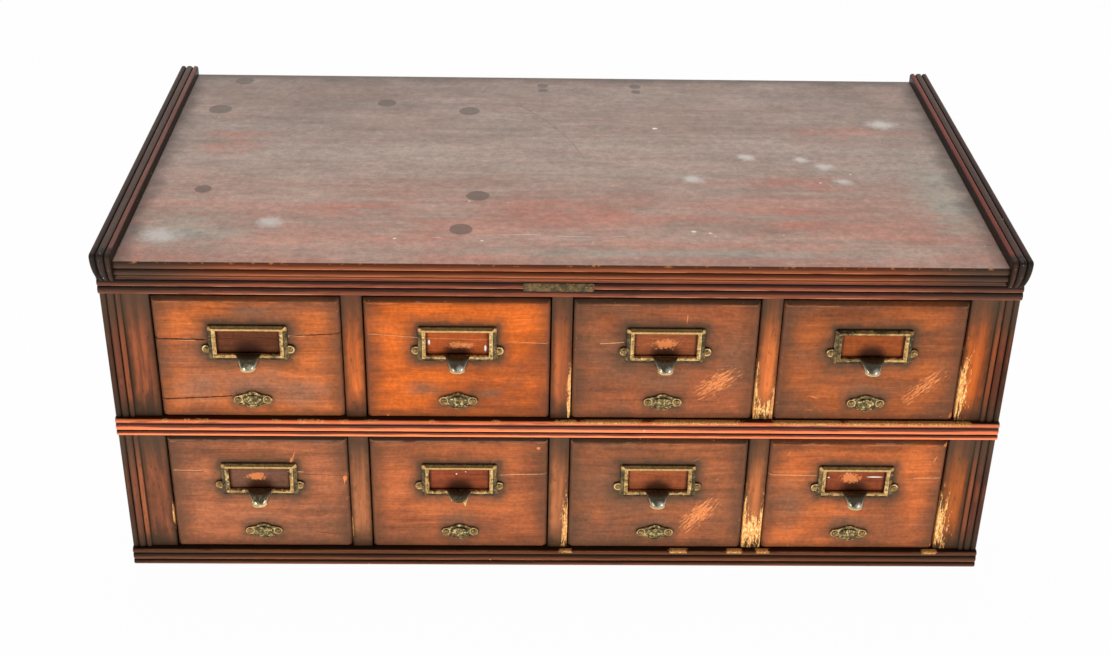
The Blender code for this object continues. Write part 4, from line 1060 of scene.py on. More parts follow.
def makePullBrass(name, centreX, frameZ, woodY, rub):
    material, bench, shader, coords = startMaterial(f"{name}_brass")
    x, y, z = bench.split(coords)
    spots = bench.cloud(coords, 380.0, 3.0, 0.66)
    grime = bench.cloud(coords, 130.0, 4.0, 0.65)
    windowZ = frameZ + (pullShape["foot"] - pullShape["top"]) / 2
    # Distance outwards from the window; the top bar is rubbed almost to its outer edge, so it counts slower
    overX = abs(x - centreX) - windowHalf[0]
    above = z - (windowZ + windowHalf[1])
    below = windowZ - windowHalf[1] - z
    overZ = bench.larger(above * 0.74, below)
    gap = bench.larger(overX, overZ)
    sideways = (x - centreX) / (pullShape["frame"][0] / 2)
    upward = (z - frameZ) / (pullShape["frame"][1] / 2)
    worn = sideways * rub["right"] + (upward * rub["top"] + rub["all"])
    # Bead round the window, slope outside it, and the dirt line between them
    warm = bench.fade(worn * 0.5 + grime, 0.58, 0.86)
    bead = bench.mix(warm, brassLook["olive"], brassLook["gold"])
    shiny = bench.fade(worn * 0.16 + spots, 0.6, 0.7)
    edges = bench.larger(bench.fade(gap, 0.0009, 0.0003), bench.fade(abs(gap - 0.0033), 0.0006, 0.0002))
    edges = edges * bench.fade(worn * 0.3 + grime, 0.54, 0.8)
    bead = bench.mix(bench.larger(shiny, edges) * 0.92, bead, brassLook["pale"])
    tarnish = bench.fade(bench.cloud(coords, 330.0, 4.0, 0.7), 0.49, 0.60)
    bead = bench.mix(tarnish * bench.span(worn, 0.2, 0.9, 0.92, 0.55), bead, brassLook["tarnish"])
    slope = bench.mix(bench.fade(grime, 0.42, 0.66), brassLook["dark"], brassLook["slope"])
    slope = bench.mix(bench.fade(spots, 0.57, 0.67) * 0.75, slope, brassLook["gold"])
    onEar = bench.fade(overX, 0.0074, 0.0082)
    slope = bench.mix(onEar * 0.3, slope, brassLook["gold"])
    earX = abs(x - centreX) - pullShape["earSpacing"] / 2
    earZ = z - (frameZ - pullShape["earDrop"])
    toEar = bench.calc("SQRT", earX ** 2.0 + earZ ** 2.0)
    earRing = bench.fade(abs(toEar - 0.0035), 0.0008, 0.0003)
    earRing = earRing * onEar * bench.fade(grime, 0.42, 0.56)
    slope = bench.mix(earRing * 0.8, slope, brassLook["pale"])
    earRim = bench.fade(toEar, 0.004, 0.0045) * onEar
    slope = bench.mix(earRim * 0.8, slope, brassLook["dark"])
    colour = bench.mix(bench.fade(gap, 0.0040, 0.0034), slope, bead)
    step = bench.fade(abs(gap - 0.0039), 0.0008, 0.0002)
    colour = bench.mix(step * 0.6, colour, brassLook["dark"])
    # Top bar lighter: rubbed gold, with a painted reflection
    topBar = bench.fade(above, 0.0002, 0.0008) * bench.fade(above, 0.005, 0.004)
    topBar = topBar * bench.fade(worn * 0.4 + grime, 0.46, 0.72)
    colour = bench.mix(topBar * 0.7, colour, bench.mix(0.3, brassLook["gold"], brassLook["pale"]))
    # The hood stands out in front of the frame, and its rim is rubbed bright
    hood = bench.fade(woodY - y, 0.0038, 0.0041)
    drop = z - frameZ
    curl = (abs(x - centreX) / (pullShape["waist"] * pullShape["hoodHalf"])) ** pullShape["hoodCurl"]
    overRim = drop - (curl * pullShape["hoodLift"] + pullShape["hoodRim"])
    rim = bench.fade(overRim, 0.0014, 0.0005)
    if name.startswith(brokenPull):
        rim = bench.fade(drop, breakLines["edge"] + 0.0026, breakLines["edge"] + 0.0010)
    shelf = bench.fade(drop, pullShape["hoodTop"] - 0.006, pullShape["hoodTop"] - 0.001) * hood
    # Painted shade: the hood is darker over its top and lighter lower down
    bronze = bench.mix(bench.fade(drop, pullShape["hoodTop"] - 0.001, pullShape["hoodTop"] - 0.006),
                       brassLook["dark"], brassLook["bronze"])
    bronze = bench.mix(bench.fade(spots, 0.56, 0.7) * 0.4, bronze, brassLook["dark"])
    flakes = bench.fade(rub["flaked"] * 0.16 + spots, 0.66, 0.7)
    flakes = flakes * (1.0 - shelf)
    bronze = bench.mix(flakes * 0.85, bronze, brassLook["pale"])
    # Painted highlight: a pale, less metallic patch low on the hood's right stands in for a lamp's
    # reflection
    hoodHighlight = bench.use(patchGroup, Vector=coords, Centre=(centreX + 0.0024, 0.0, frameZ - 0.0172),
                        Size=(0.0046, throughDepth, 0.0036), Ragged=0.7, Grit=300.0, Soft=0.8)["Mask"]
    hoodHighlight = hoodHighlight * hood * rub["hoodHighlight"]
    bronze = bench.mix(hoodHighlight, bronze, brassLook["hoodHighlight"])
    bronze = bench.mix(rim, bronze, bench.mix(0.5, brassLook["gold"], brassLook["pale"]))
    bench.feed(shader.inputs["Base Color"], bench.mix(hood, colour, bronze))
    bench.feed(shader.inputs["Metallic"],
               bench.span(hoodHighlight, 0.0, 1.0, 1.0, 0.35) * bench.span(shelf, 0.0, 1.0, 1.0, 0.5))
    coarse = bench.span(spots, 0.3, 0.7, 0.26, 0.46)
    polish = bench.span(spots, 0.3, 0.7, 0.20, 0.32)
    bench.feed(shader.inputs["Roughness"], hood * (polish - coarse) + coarse)
    height = spots * bench.span(hood, 0.0, 1.0, 0.8, 0.12)
    addBump(bench, shader, height, 0.3, 0.0005)
    return material


def makePlateBrass(name, low, high):
    material, bench, shader, coords = startMaterial(f"{name}_brass")
    middle = (low + high) / 2
    x, _, z = bench.split(coords)
    spots = bench.cloud(coords, 360.0, 4.0, 0.72)
    grime = bench.cloud(coords, 180.0, 4.0, 0.65)
    colour = bench.mix(bench.fade(grime, 0.36, 0.60), brassLook["plateDull"], brassLook["plateMiddle"])
    colour = bench.mix(bench.fade(spots, 0.53, 0.61) * 0.92, colour, brassLook["plateBright"])
    colour = bench.mix(bench.fade(spots, 0.44, 0.36) * 0.75, colour, brassLook["dark"])
    overX = x - middle.x
    overZ = z - middle.z
    # Dirt in the corner round the oval, bright rings round the screws
    oval = bench.calc("SQRT", (overX / 0.0086) ** 2.0 + (overZ / 0.0054) ** 2.0)
    crease = bench.fade(abs(oval - 1.04), 0.14, 0.04)
    colour = bench.mix(crease * 0.6, colour, brassLook["dark"])
    toScrew = abs(overX) - 0.0135
    away = bench.calc("SQRT", toScrew ** 2.0 + overZ ** 2.0)
    ring = bench.fade(abs(away - 0.0036), 0.0007, 0.0003)
    colour = bench.mix(ring * 0.55, colour, brassLook["pale"])
    pit = bench.fade(abs(away - 0.0029), 0.0005, 0.0001)
    colour = bench.mix(pit * 0.85, colour, brassLook["dark"])
    bench.feed(shader.inputs["Base Color"], colour)
    shader.inputs["Metallic"].default_value = 1.0
    bench.feed(shader.inputs["Roughness"], bench.span(spots, 0.3, 0.7, 0.30, 0.5))
    addBump(bench, shader, spots, 0.5, 0.0006)
    return material


def makeBareBrass(name):
    material, bench, shader, coords = startMaterial(f"{name}_brass")
    spots = bench.cloud(coords, 520.0, 4.0, 0.68)
    grime = bench.cloud(coords, 140.0, 3.0, 0.6)
    colour = bench.mix(bench.fade(grime, 0.38, 0.62), brassLook["grime"], brassLook["olive"])
    colour = bench.mix(bench.fade(spots, 0.56, 0.68) * 0.7, colour, brassLook["gold"])
    bench.feed(shader.inputs["Base Color"], colour)
    shader.inputs["Metallic"].default_value = 1.0
    bench.feed(shader.inputs["Roughness"], bench.span(spots, 0.3, 0.7, 0.30, 0.5))
    return material


def makeScrewBrass():
    material, bench, shader, coords = startMaterial("screw_brass")
    spots = bench.cloud(coords, 700.0, 3.0, 0.6)
    colour = bench.mix(bench.fade(spots, 0.46, 0.62), brassLook["olive"], brassLook["gold"])
    bench.feed(shader.inputs["Base Color"], colour)
    bench.feed(shader.inputs["Roughness"], bench.span(spots, 0.3, 0.7, 0.28, 0.5))
    shader.inputs["Metallic"].default_value = 1.0
    return material


screwMaterial = makeScrewBrass()
print("brass ready")


# Mesh helpers
def closedMesh(name, points, faces):
    shape = bmesh.new()
    corners = [shape.verts.new(point) for point in points]
    for face in faces:
        shape.faces.new([corners[index] for index in face])
    bmesh.ops.recalc_face_normals(shape, faces=shape.faces)
    mesh = bpy.data.meshes.new(name)
    shape.to_mesh(mesh)
    shape.free()
    return mesh


def ringMesh(name, loops, wrap=False):
    # Skin over loops of equal length, closed by end faces or by joining the last to the first
    count = len(loops[0])
    points = [point for loop in loops for point in loop]
    faces = []
    for step in range(len(loops) if wrap else len(loops) - 1):
        near = step * count
        far = (step + 1) % len(loops) * count
        for index in range(count):
            after = (index + 1) % count
            faces.append((near + index, near + after, far + after, far + index))
    if not wrap:
        faces += [list(range(count)), list(range(len(points) - count, len(points)))]
    return closedMesh(name, points, faces)


def evaluated(piece):
    graph = bpy.context.evaluated_depsgraph_get()
    mesh = bpy.data.meshes.new_from_object(piece.evaluated_get(graph))
    mesh.name = piece.name
    return mesh


def carve(mesh, operation, tools):
    piece = bpy.data.objects.new(mesh.name, mesh)
    bpy.context.scene.collection.objects.link(piece)
    spare = [piece]
    for tool in tools:
        helper = bpy.data.objects.new("tool", tool)
        bpy.context.scene.collection.objects.link(helper)
        step = piece.modifiers.new("step", "BOOLEAN")
        step.operation = operation
        step.solver = "EXACT"
        step.object = helper
        spare.append(helper)
    result = evaluated(piece)
    for helper in spare:
        bpy.data.objects.remove(helper, do_unlink=True)
    return result


def shadeSmooth(mesh, angle=32):
    mesh.shade_smooth()
    mesh.set_sharp_from_angle(angle=radians(angle))
    return mesh


def addPiece(name, mesh, material, body, replaced=()):
    mesh.materials.clear()
    mesh.materials.append(material)
    piece = bpy.data.objects.new(name, mesh)
    bpy.context.scene.collection.objects.link(piece)
    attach(piece, body)
    if replaced:
        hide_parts(*replaced)
    return piece


def roundedCopy(node, width, material, body, segments=2):
    # Copy of a CAD node with its arrises eased
    shape = bmesh.new()
    shape.from_mesh(nodes[node].data)
    bmesh.ops.remove_doubles(shape, verts=shape.verts, dist=1e-6)
    bmesh.ops.dissolve_limit(shape, angle_limit=radians(1), verts=shape.verts, edges=shape.edges)
    mesh = bpy.data.meshes.new(node)
    shape.to_mesh(mesh)
    shape.free()
    piece = bpy.data.objects.new(node, mesh)
    bpy.context.scene.collection.objects.link(piece)
    ease = piece.modifiers.new("ease", "BEVEL")
    ease.width = width
    ease.segments = segments
    ease.limit_method = "ANGLE"
    ease.angle_limit = radians(40)
    ease.harden_normals = False
    result = evaluated(piece)
    bpy.data.objects.remove(piece, do_unlink=True)
    return addPiece(f"{node}_finish", shadeSmooth(result, 35), material, body, [node])


# Reeded boards: a block whose front edge is drawn into three reeds
moulding = {"reeds": (0.0056, 0.0072, 0.0056), "top_board": (0.0044, 0.0062, 0.0078),
            "upper_board": (0.0078, 0.0068, 0.0038), "stepBack": 0.0042, "quirk": 0.0003, "rise": 0.0026,
            "steps": 12, "ease": 0.0016}


def makeReedTree():
    tree, bench, given, out = newGroup(
        "reededBoard", {"Length": 0.8, "Depth": 0.4, "First Reed": 0.0056, "Middle Reed": 0.0072,
                        "Last Reed": 0.0056, "Quirk": 0.0003, "Rise": 0.0026, "Step Back": 0.0,
                        "Ease": 0.0016, "Reed Steps": 12, "Stations": 81, "Wood": "NodeSocketMaterial"},
        ["Board"], "GeometryNodeTree")
    pitch = given["First Reed"] + given["Quirk"]
    nextPitch = given["Middle Reed"] + given["Quirk"]
    thick = pitch + nextPitch + given["Last Reed"]
    block = bench.add("GeometryNodeMeshCube", {
        "Size": bench.join(given["Length"], given["Depth"], thick), "Vertices X": given["Stations"],
        "Vertices Y": 2, "Vertices Z": given["Reed Steps"] * 3.0 + 1.0})
    x, y, z = bench.split(bench.add("GeometryNodeInputPosition").outputs[0])
    # Which reed a point is on, and its place from 0 to 1 over that reed
    climb = (z / thick + 0.5) * 3.0
    reed = bench.calc("FLOOR", bench.smaller(climb + 0.0001, 2.9999))
    share = climb - reed
    past1 = bench.calc("GREATER_THAN", reed, 0.5)
    past2 = bench.calc("GREATER_THAN", reed, 1.5)
    start = past1 * pitch + past2 * nextPitch
    swell = given["Middle Reed"] - given["First Reed"]
    shrink = given["Last Reed"] - given["Middle Reed"]
    width = past1 * swell + (past2 * shrink + given["First Reed"])
    turn = share * pi
    along = (1.0 - bench.calc("COSINE", turn)) * 0.5
    newZ = along * width + start - thick * 0.5
    # Stations crowd towards the ends, where the reeds are rubbed round
    half = given["Length"] * 0.5
    away = 1.0 - abs(x) / half
    crowd = 1.0 - bench.larger(away, 0.0) ** 2.4
    newX = crowd * half * bench.calc("SIGN", x)
    toEnd = half - abs(newX)
    near = bench.calc("SUBTRACT", 1.0, toEnd / given["Ease"], clamp=True)
    drawn = 1.0 - bench.calc("SQRT", 1.0 - near ** 2.0)
    front = bench.calc("LESS_THAN", y, 0.0)
    reach = bench.calc("SINE", turn) * given["Rise"] - drawn * given["Ease"]
    lowest = 1.0 - past1
    reach = reach - lowest * given["Step Back"]
    newY = y - front * reach
    shaped = bench.add("GeometryNodeSetPosition", {
        "Geometry": block.outputs["Mesh"], "Position": bench.join(newX, newY, newZ)})
    whole = bench.add("GeometryNodeRealizeInstances", {"Geometry": shaped.outputs["Geometry"]})
    dressed = bench.add("GeometryNodeSetMaterial", {
        "Geometry": whole.outputs["Geometry"], "Material": given["Wood"]})
    bench.feed(out["Board"], dressed.outputs["Geometry"])
    return tree


reedTree = makeReedTree()


def treeMesh(name, tree, values, base=None):
    # Runs a node tree on a bare object and keeps the result as a plain mesh
    piece = bpy.data.objects.new(name, base or bpy.data.meshes.new(name))
    bpy.context.scene.collection.objects.link(piece)
    work = piece.modifiers.new("work", "NODES")
    work.node_group = tree
    sockets = {item.name: item.identifier for item in tree.interface.items_tree if item.in_out == "INPUT"}
    for label, value in values.items():
        work[sockets[label]] = value
    mesh = evaluated(piece)
    piece.modifiers.remove(work)
    bpy.data.objects.remove(piece, do_unlink=True)
    return mesh


def boxMesh(low, high):
    outline = [(low[0], low[1]), (high[0], low[1]), (high[0], high[1]), (low[0], high[1])]
    return ringMesh("block", [[(x, y, z) for x, y in outline] for z in (low[2], high[2])])


def reededBoard(node, material, notched):
    low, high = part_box(node)
    isTop = node == "top_board"
    first, second, last = moulding.get(node, moulding["reeds"])
    foot = low.y + moulding["rise"]
    mesh = treeMesh(node, reedTree, {
        "Length": high.x - low.x, "Depth": high.y - foot, "First Reed": first, "Middle Reed": second,
        "Last Reed": last, "Quirk": moulding["quirk"], "Rise": moulding["rise"],
        "Step Back": moulding["stepBack"] if isTop else 0.0, "Ease": 0.0002 if isTop else moulding["ease"],
        "Reed Steps": moulding["steps"], "Wood": material})
    fit = (high.z - low.z) / (first + second + last + 2 * moulding["quirk"])
    place = Vector(((low.x + high.x) / 2, (foot + high.y) / 2, (low.z + high.z) / 2))
    mesh.transform(Matrix.Translation(place) @ Matrix.Diagonal((1.0, 1.0, fit, 1.0)))
    if notched:
        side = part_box("right_side")
        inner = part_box("back_panel")[1].x
        front = side[0].y - 0.0003
        cuts = [boxMesh((-1.0, front, -1.0), (-inner, 1.0, 1.0)),
                boxMesh((inner, front, -1.0), (1.0, 1.0, 1.0))]
        mesh = carve(mesh, "DIFFERENCE", cuts)
    addPiece(f"{node}_finish", shadeSmooth(mesh, 38), material, "case", [node])


reededBoard("base_board", caseMaterials["base_board"], False)
reededBoard("middle_shelf", caseMaterials["middle_shelf"], True)
reededBoard("upper_board", caseMaterials["upper_board"], True)
reededBoard("top_board", topMaterial, False)
print("reeded boards made")


def reedPoints():
    # Distance over the edge and rise of the reeds
    points = []
    start = 0.0
    for width in moulding["reeds"]:
        for step in range(moulding["steps"] + 1):
            turn = pi * step / moulding["steps"]
            points.append((start + width * (1 - cos(turn)) / 2, moulding["rise"] * sin(turn)))
        start += width + moulding["quirk"]
    return points


def makeStile(name, side):
    low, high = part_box(name)
    outer = max(abs(low.x), abs(high.x))
    inner = min(abs(low.x), abs(high.x))
    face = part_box("upper_divider_1")[0].y
    ease = 0.0006
    reeds = [(outer - distance, low.y + moulding["rise"] - rise) for distance, rise in reedPoints()]
    plan = [(outer, high.y), *reeds, (reeds[-1][0], face), (inner + ease, face), (inner, face + ease),
            (inner, high.y)]
    loops = [[(side * x, y, z) for x, y in plan] for z in (low.z, high.z)]
    mesh = ringMesh(name, loops)
    addPiece(f"{name}_finish", shadeSmooth(mesh, 38), caseMaterials[name], "case", [name])


for name in stileWear:
    makeStile(name, 1 if "right" in name else -1)

# End caps: the reeds run along the top, over the nose and down the chin
capShape = {"noseRadius": 0.0018, "sweep": 0.0105, "chinTurn": radians(60), "shoulder": 0.004, "steps": 10}


def capPath(low, high):
    # Places at the foot of the reeds, their outward direction and the draw of the outer side
    crown = high.z - moulding["rise"]
    front = low.y + moulding["rise"]
    radius, sweep, steps = capShape["noseRadius"], capShape["sweep"], capShape["steps"]
    nose = (front + radius, crown - radius)
    drop = (nose[1] - low.z) / sin(capShape["chinTurn"])
    path = [(high.y, crown, 0.0, 1.0, 0.0)]
    for step in range(steps + 1):
        turn = pi / 2 * step / steps
        ahead, up = sin(turn), cos(turn)
        path.append((nose[0] - radius * ahead, nose[1] + radius * up, -ahead, up, 0.0))
    for step in range(1, steps - 1):
        turn = capShape["chinTurn"] * step / steps
        draw = sweep * (1 - cos(turn))
        ahead, down = cos(turn) / sweep, sin(turn) / drop
        length = sqrt(ahead ** 2 + down ** 2)
        path.append((front + draw, nose[1] - drop * sin(turn), -ahead / length, -down / length, draw))
    draw = sweep * (1 - cos(capShape["chinTurn"]))
    path.append((front + draw, low.z, -1.0, 0.0, draw))
    return path


def makeCap(name, side):
    low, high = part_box(name)
    outer = max(abs(low.x), abs(high.x))
    across = reedPoints()
    wide = across[-1][0]
    path = capPath(low, high)
    count = len(across)
    points = [(side * (outer - distance - draw * (1 - distance / wide)), y + rise * outY, z + rise * outZ)
              for y, z, outY, outZ, draw in path for distance, rise in across]
    heel = len(points)
    points += [(side * (outer - distance), high.y, low.z) for distance in (0.0, wide)]
    shoulder = len(points)
    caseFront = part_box("upper_left_stile")[0].y
    points.append((side * outer, caseFront + capShape["shoulder"], low.z))
    faces = []
    for station in range(len(path) - 1):
        for index in range(count - 1):
            near = station * count + index
            faces.append((near, near + 1, near + count + 1, near + count))
    last = (len(path) - 1) * count
    rim = [station * count for station in range(len(path))]
    chin = capShape["steps"] + 1
    faces.append([*rim[:chin + 1], shoulder, heel])
    faces += [(near, far, shoulder) for near, far in zip(rim[chin:], rim[chin + 1:])]
    faces.append([*(station * count + count - 1 for station in range(len(path))), heel + 1])
    faces.append([*range(count), heel + 1, heel])
    faces.append([*range(last, last + count), heel + 1, heel, shoulder])
    mesh = closedMesh(name, points, faces)
    addPiece(f"{name}_finish", shadeSmooth(mesh, 38), caseMaterials[name], "case", [name])


makeCap("left_cap", -1)
makeCap("right_cap", 1)
for name in dividerWear:
    roundedCopy(name, 0.0007, caseMaterials[name], "case")
for name in ("left_side", "right_side"):
    roundedCopy(name, 0.0008, caseMaterials["side"], "case")
roundedCopy("back_panel", 0.0006, plainMaterials["back"], "case")
print("case made")

# Drawer fronts, with their arrises worn unevenly
frontShape = {"chamfer": frontFinish["chamfer"], "foot": 0.0008, "wear": 0.0006, "points": 64,
              "back": 0.0005, "profile": ((0.0, 1.12, 0.0), (0.03, 1.0, 0.5), (0.12, 0.84, 1.0),
                                          (0.84, 0.12, 1.0), (1.0, 0.03, 0.6), (1.14, 0.0, 0.2))}


def borderLoop(low, high, inset, footInset, count):
    # Points round an upright rectangle, evenly along each side, corners included
    left, right = low.x + inset, high.x - inset
    bottom, top = low.z + footInset, high.z - inset
    corners = ((left, bottom), (right, bottom), (right, top), (left, top), (left, bottom))
    loop = []
    for start, end in zip(corners, corners[1:]):
        for step in range(count):
            share = step / count
            loop.append((start[0] + share * (end[0] - start[0]), start[1] + share * (end[1] - start[1])))
    return loop


def makeFront(name):
    low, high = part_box(f"{name}_front")
    middle = (low + high) / 2
    reach = max(high.x - low.x, high.z - low.z) / 2
    stations = [(frontShape["back"], frontShape["back"], high.y, 0.0),
                (0.0, 0.0, high.y - frontShape["back"], 0.0)]
    stations += [(frontShape["chamfer"] * inset, frontShape["foot"] * inset,
                  low.y + frontShape["chamfer"] * depth, wear)
                 for inset, depth, wear in frontShape["profile"]]
    loops = []
    for inset, footInset, y, wear in stations:
        loop = []
        for x, z in borderLoop(low, high, inset, footInset, frontShape["points"]):
            spot = Vector((x, 0.0, z))
            uneven = noise.noise(spot * 130.0) + 0.4 * noise.noise(spot * 420.0)
            dent = frontShape["wear"] * wear * max(0.0, uneven)
            shrink = 1.0 - dent / reach
            loop.append((middle.x + (x - middle.x) * shrink, y + 0.7 * dent,
                         middle.z + (z - middle.z) * shrink))
        loops.append(loop)
    mesh = ringMesh(f"{name}_front", loops)
    addPiece(f"{name}_front_finish", shadeSmooth(mesh, 40), frontMaterials[name], name,
             [f"{name}_front"])


for name in drawerNames:
    makeFront(name)
    roundedCopy(f"{name}_tray", 0.0007, plainMaterials["tray"], name)
    roundedCopy(f"{name}_follower", 0.001, plainMaterials["follower"], name.replace("drawer", "follower"))
print("drawers made")

# Label-holder pulls
def cornerLoop(right, bottom, top, radius, steps):
    loop = []
    centres = ((right - radius, top - radius), (radius - right, top - radius),
               (radius - right, bottom + radius), (right - radius, bottom + radius))
    for quarter, (x, z) in enumerate(centres):
        for step in range(steps):
            turn = pi / 2 * (quarter + step / (steps - 1))
            loop.append((x + radius * cos(turn), z + radius * sin(turn)))
    return loop


def makePullFrame(shape):
    wide, tall = shape["frame"]
    loops = []
    for share, off in shape["section"]:
        loop = cornerLoop(wide / 2 - share * shape["side"], share * shape["foot"] - tall / 2,
                          tall / 2 - share * shape["top"], shape["corner"] * (1 - 0.75 * share), 5)
        loops.append([(x, -off, z) for x, z in loop])
    return ringMesh("pull", loops, wrap=True)


def makeEar(side, shape):
    # Round lug for the screw, with a small scroll below it that dies into the frame
    centre = side * shape["earSpacing"] / 2
    meshes = []
    for x, z, radius, thick in ((centre, -shape["earDrop"], shape["earRadius"], shape["earThickness"]),
                                (side * 0.0352, -0.0128, 0.0034, shape["earThickness"] - 0.0004)):
        turns = [2 * pi * step / 28 for step in range(28)]
        loops = []
        for size, off in ((1.0, 0.0), (1.0, 0.6 * thick), (0.9, 0.9 * thick), (0.78, thick)):
            loops.append([(x + size * radius * cos(turn), -off, z + size * radius * sin(turn))
                          for turn in turns])
        meshes.append(ringMesh("ear", loops))
    return meshes


def makeHood(shape, half, reach, top, rim, root):
    columns, rows = 28, 12
    points = []
    for row in range(rows + 1):
        turn = pi / 2 * row / rows
        width = half * (shape["waist"] + (1 - shape["waist"]) * cos(turn) ** shape["flare"])
        for column in range(columns + 1):
            slant = cos(pi * column / columns)
            depth = reach * sqrt(max(0.0, 1 - abs(slant) ** 2.5))
            edge = rim + shape["hoodLift"] * abs(slant) ** shape["hoodCurl"]
            points.append((-width * slant, -root - depth * sin(turn), edge + (top - edge) * cos(turn)))
    wide = columns + 1
    faces = []
    for row in range(rows):
        for column in range(columns):
            near = row * wide + column
            faces.append((near, near + 1, near + wide + 1, near + wide))
    left = [row * wide for row in range(rows + 1)]
    right = [row * wide + columns for row in range(rows + 1)]
    faces.append([*range(wide), *right[1:], *reversed(left[1:])])
    faces.append(list(range(rows * wide, rows * wide + wide)))
    return closedMesh("hood", points, faces)


def makePullMesh(shape):
    slotHalf = shape["frame"][0] / 2 - shape["side"]
    windowTop = shape["frame"][1] / 2 - shape["top"]
    slot = boxMesh((-slotHalf, 0.0003 - shape["slot"], windowTop - shape["slot"]),
                   (slotHalf, shape["slot"], shape["frame"][1]))
    mesh = carve(makePullFrame(shape), "DIFFERENCE", [slot])
    hood = makeHood(shape, shape["hoodHalf"], shape["hoodReach"], shape["hoodTop"], shape["hoodRim"],
                    shape["hoodRoot"])
    mesh = carve(mesh, "UNION", [*makeEar(-1, shape), *makeEar(1, shape), hood])
    wall = shape["hoodWall"]
    hollow = makeHood(shape, shape["hoodHalf"] - wall, shape["hoodReach"] - wall - 0.0003,
                      shape["hoodTop"] - wall, shape["hoodRim"] - wall, shape["hoodRoot"] + 0.0003)
    return shadeSmooth(carve(mesh, "DIFFERENCE", [hollow]), 34)


# Lozenge plates: raised rim, sunk field and a plain raised oval
plateShape = {"spacing": 0.0270, "end": 0.0050, "peak": 0.0092, "sharpness": 2.5, "points": 72,
              "boss": (0.0084, 0.0052)}


def plateOutline(shape, shrink):
    reach = shape["spacing"] / 2 + shape["end"]
    loop = []
    for step in range(shape["points"]):
        turn = 2 * pi * step / shape["points"]
        x = reach * copysign(abs(cos(turn)) ** 0.75, cos(turn))
        middle = ((1 + cos(pi * x / reach)) / 2) ** shape["sharpness"]
        end = sqrt(max(0.0, 1 - (x / reach) ** 6))
        z = copysign((shape["end"] + (shape["peak"] - shape["end"]) * middle) * end, sin(turn))
        loop.append((x * (1 - shrink / reach), z * (1 - shrink / shape["end"] * 0.75)))
    return loop


def makePlateMesh(shape):
    loops = [[(x, -off, z) for x, z in plateOutline(shape, shrink)]
             for shrink, off in ((0.0, 0.0), (0.0, 0.0010), (0.0003, 0.0015), (0.0009, 0.0016),
                                 (0.0012, 0.0011))]
    turns = [2 * pi * step / shape["points"] for step in range(shape["points"])]
    for size, off in ((1.0, 0.0011), (0.98, 0.0017), (0.90, 0.0021), (0.74, 0.0023)):
        loops.append([(size * shape["boss"][0] * cos(turn), -off, size * shape["boss"][1] * sin(turn))
                      for turn in turns])
    return shadeSmooth(ringMesh("plate", loops), 40)


def makeBrokenMesh(whole):
    far = breakLines["far"]
    closing = ((0.030, -far), (-0.030, -far))
    above = ringMesh("gone", [[(x, y, z) for x, y in (*breakLines["above"], *closing)]
                              for z in (-far, far)])
    ahead = ringMesh("gone", [[(x, y, z) for x, z in (*breakLines["ahead"], *closing)]
                              for y in (-far, -breakLines["clear"])])
    return shadeSmooth(carve(whole.copy(), "DIFFERENCE", [above, ahead]), 34)


pullMesh = makePullMesh(pullShape)
brokenPullMesh = makeBrokenMesh(pullMesh)
plateMesh = makePlateMesh(plateShape)
print("brass shapes made:", len(pullMesh.polygons), len(plateMesh.polygons), "faces")


# Slotted screws: one head on every point of a bare mesh, facing along -Y or +Y
def makeScrewTree():
    tree, bench, given, out = newGroup(
        "slottedScrews", {"Places": "NodeSocketGeometry", "Radius": 0.0024, "Dome": 0.0008, "Slot": 0.0006,
                          "Facing": 1.0, "Seed": 1, "Metal": "NodeSocketMaterial"},
        ["Screws"], "GeometryNodeTree")
    ball = bench.add("GeometryNodeMeshUVSphere", {"Segments": 20, "Rings": 10, "Radius": 1.0})
    head = bench.add("GeometryNodeTransform", {
        "Geometry": ball.outputs["Mesh"],
        "Scale": bench.join(given["Radius"], given["Radius"], given["Dome"])})
    bar = bench.add("GeometryNodeMeshCube", {
        "Size": bench.join(given["Radius"] * 3.0, given["Slot"], given["Dome"])})
    lifted = bench.add("GeometryNodeTransform", {
        "Geometry": bar.outputs["Mesh"], "Translation": bench.join(0.0, 0.0, given["Dome"] * 0.95)})
    cut = bench.add("GeometryNodeMeshBoolean", {
        "Mesh 1": head.outputs["Geometry"], "Mesh 2": lifted.outputs["Geometry"]}, operation="DIFFERENCE")
    points = bench.add("GeometryNodeMeshToPoints", {"Mesh": given["Places"]})
    # Input 3 is the largest turn of a slot
    chance = bench.add("FunctionNodeRandomValue", {3: pi, "Seed": given["Seed"]}, data_type="FLOAT")
    copies = bench.add("GeometryNodeInstanceOnPoints", {
        "Points": points.outputs["Points"], "Instance": cut.outputs["Mesh"],
        "Rotation": bench.join(given["Facing"] * (pi / 2), 0.0, 0.0)})
    turned = bench.add("GeometryNodeRotateInstances", {
        "Instances": copies.outputs["Instances"], "Rotation": bench.join(0.0, 0.0, chance.outputs[1])})
    whole = bench.add("GeometryNodeRealizeInstances", {"Geometry": turned.outputs["Instances"]})
    shaded = bench.add("GeometryNodeSetShadeSmooth", {"Geometry": whole.outputs["Geometry"]})
    dressed = bench.add("GeometryNodeSetMaterial", {
        "Geometry": shaded.outputs["Geometry"], "Material": given["Metal"]})
    bench.feed(out["Screws"], dressed.outputs["Geometry"])
    return tree


screwTree = makeScrewTree()


def addScrews(name, places, body, values):
    base = bpy.data.meshes.new(name)
    base.from_pydata(places, [], [])
    mesh = treeMesh(name, screwTree, {"Metal": screwMaterial, **values}, base)
    mesh.set_sharp_from_angle(angle=radians(40))
    addPiece(name, mesh, screwMaterial, body)
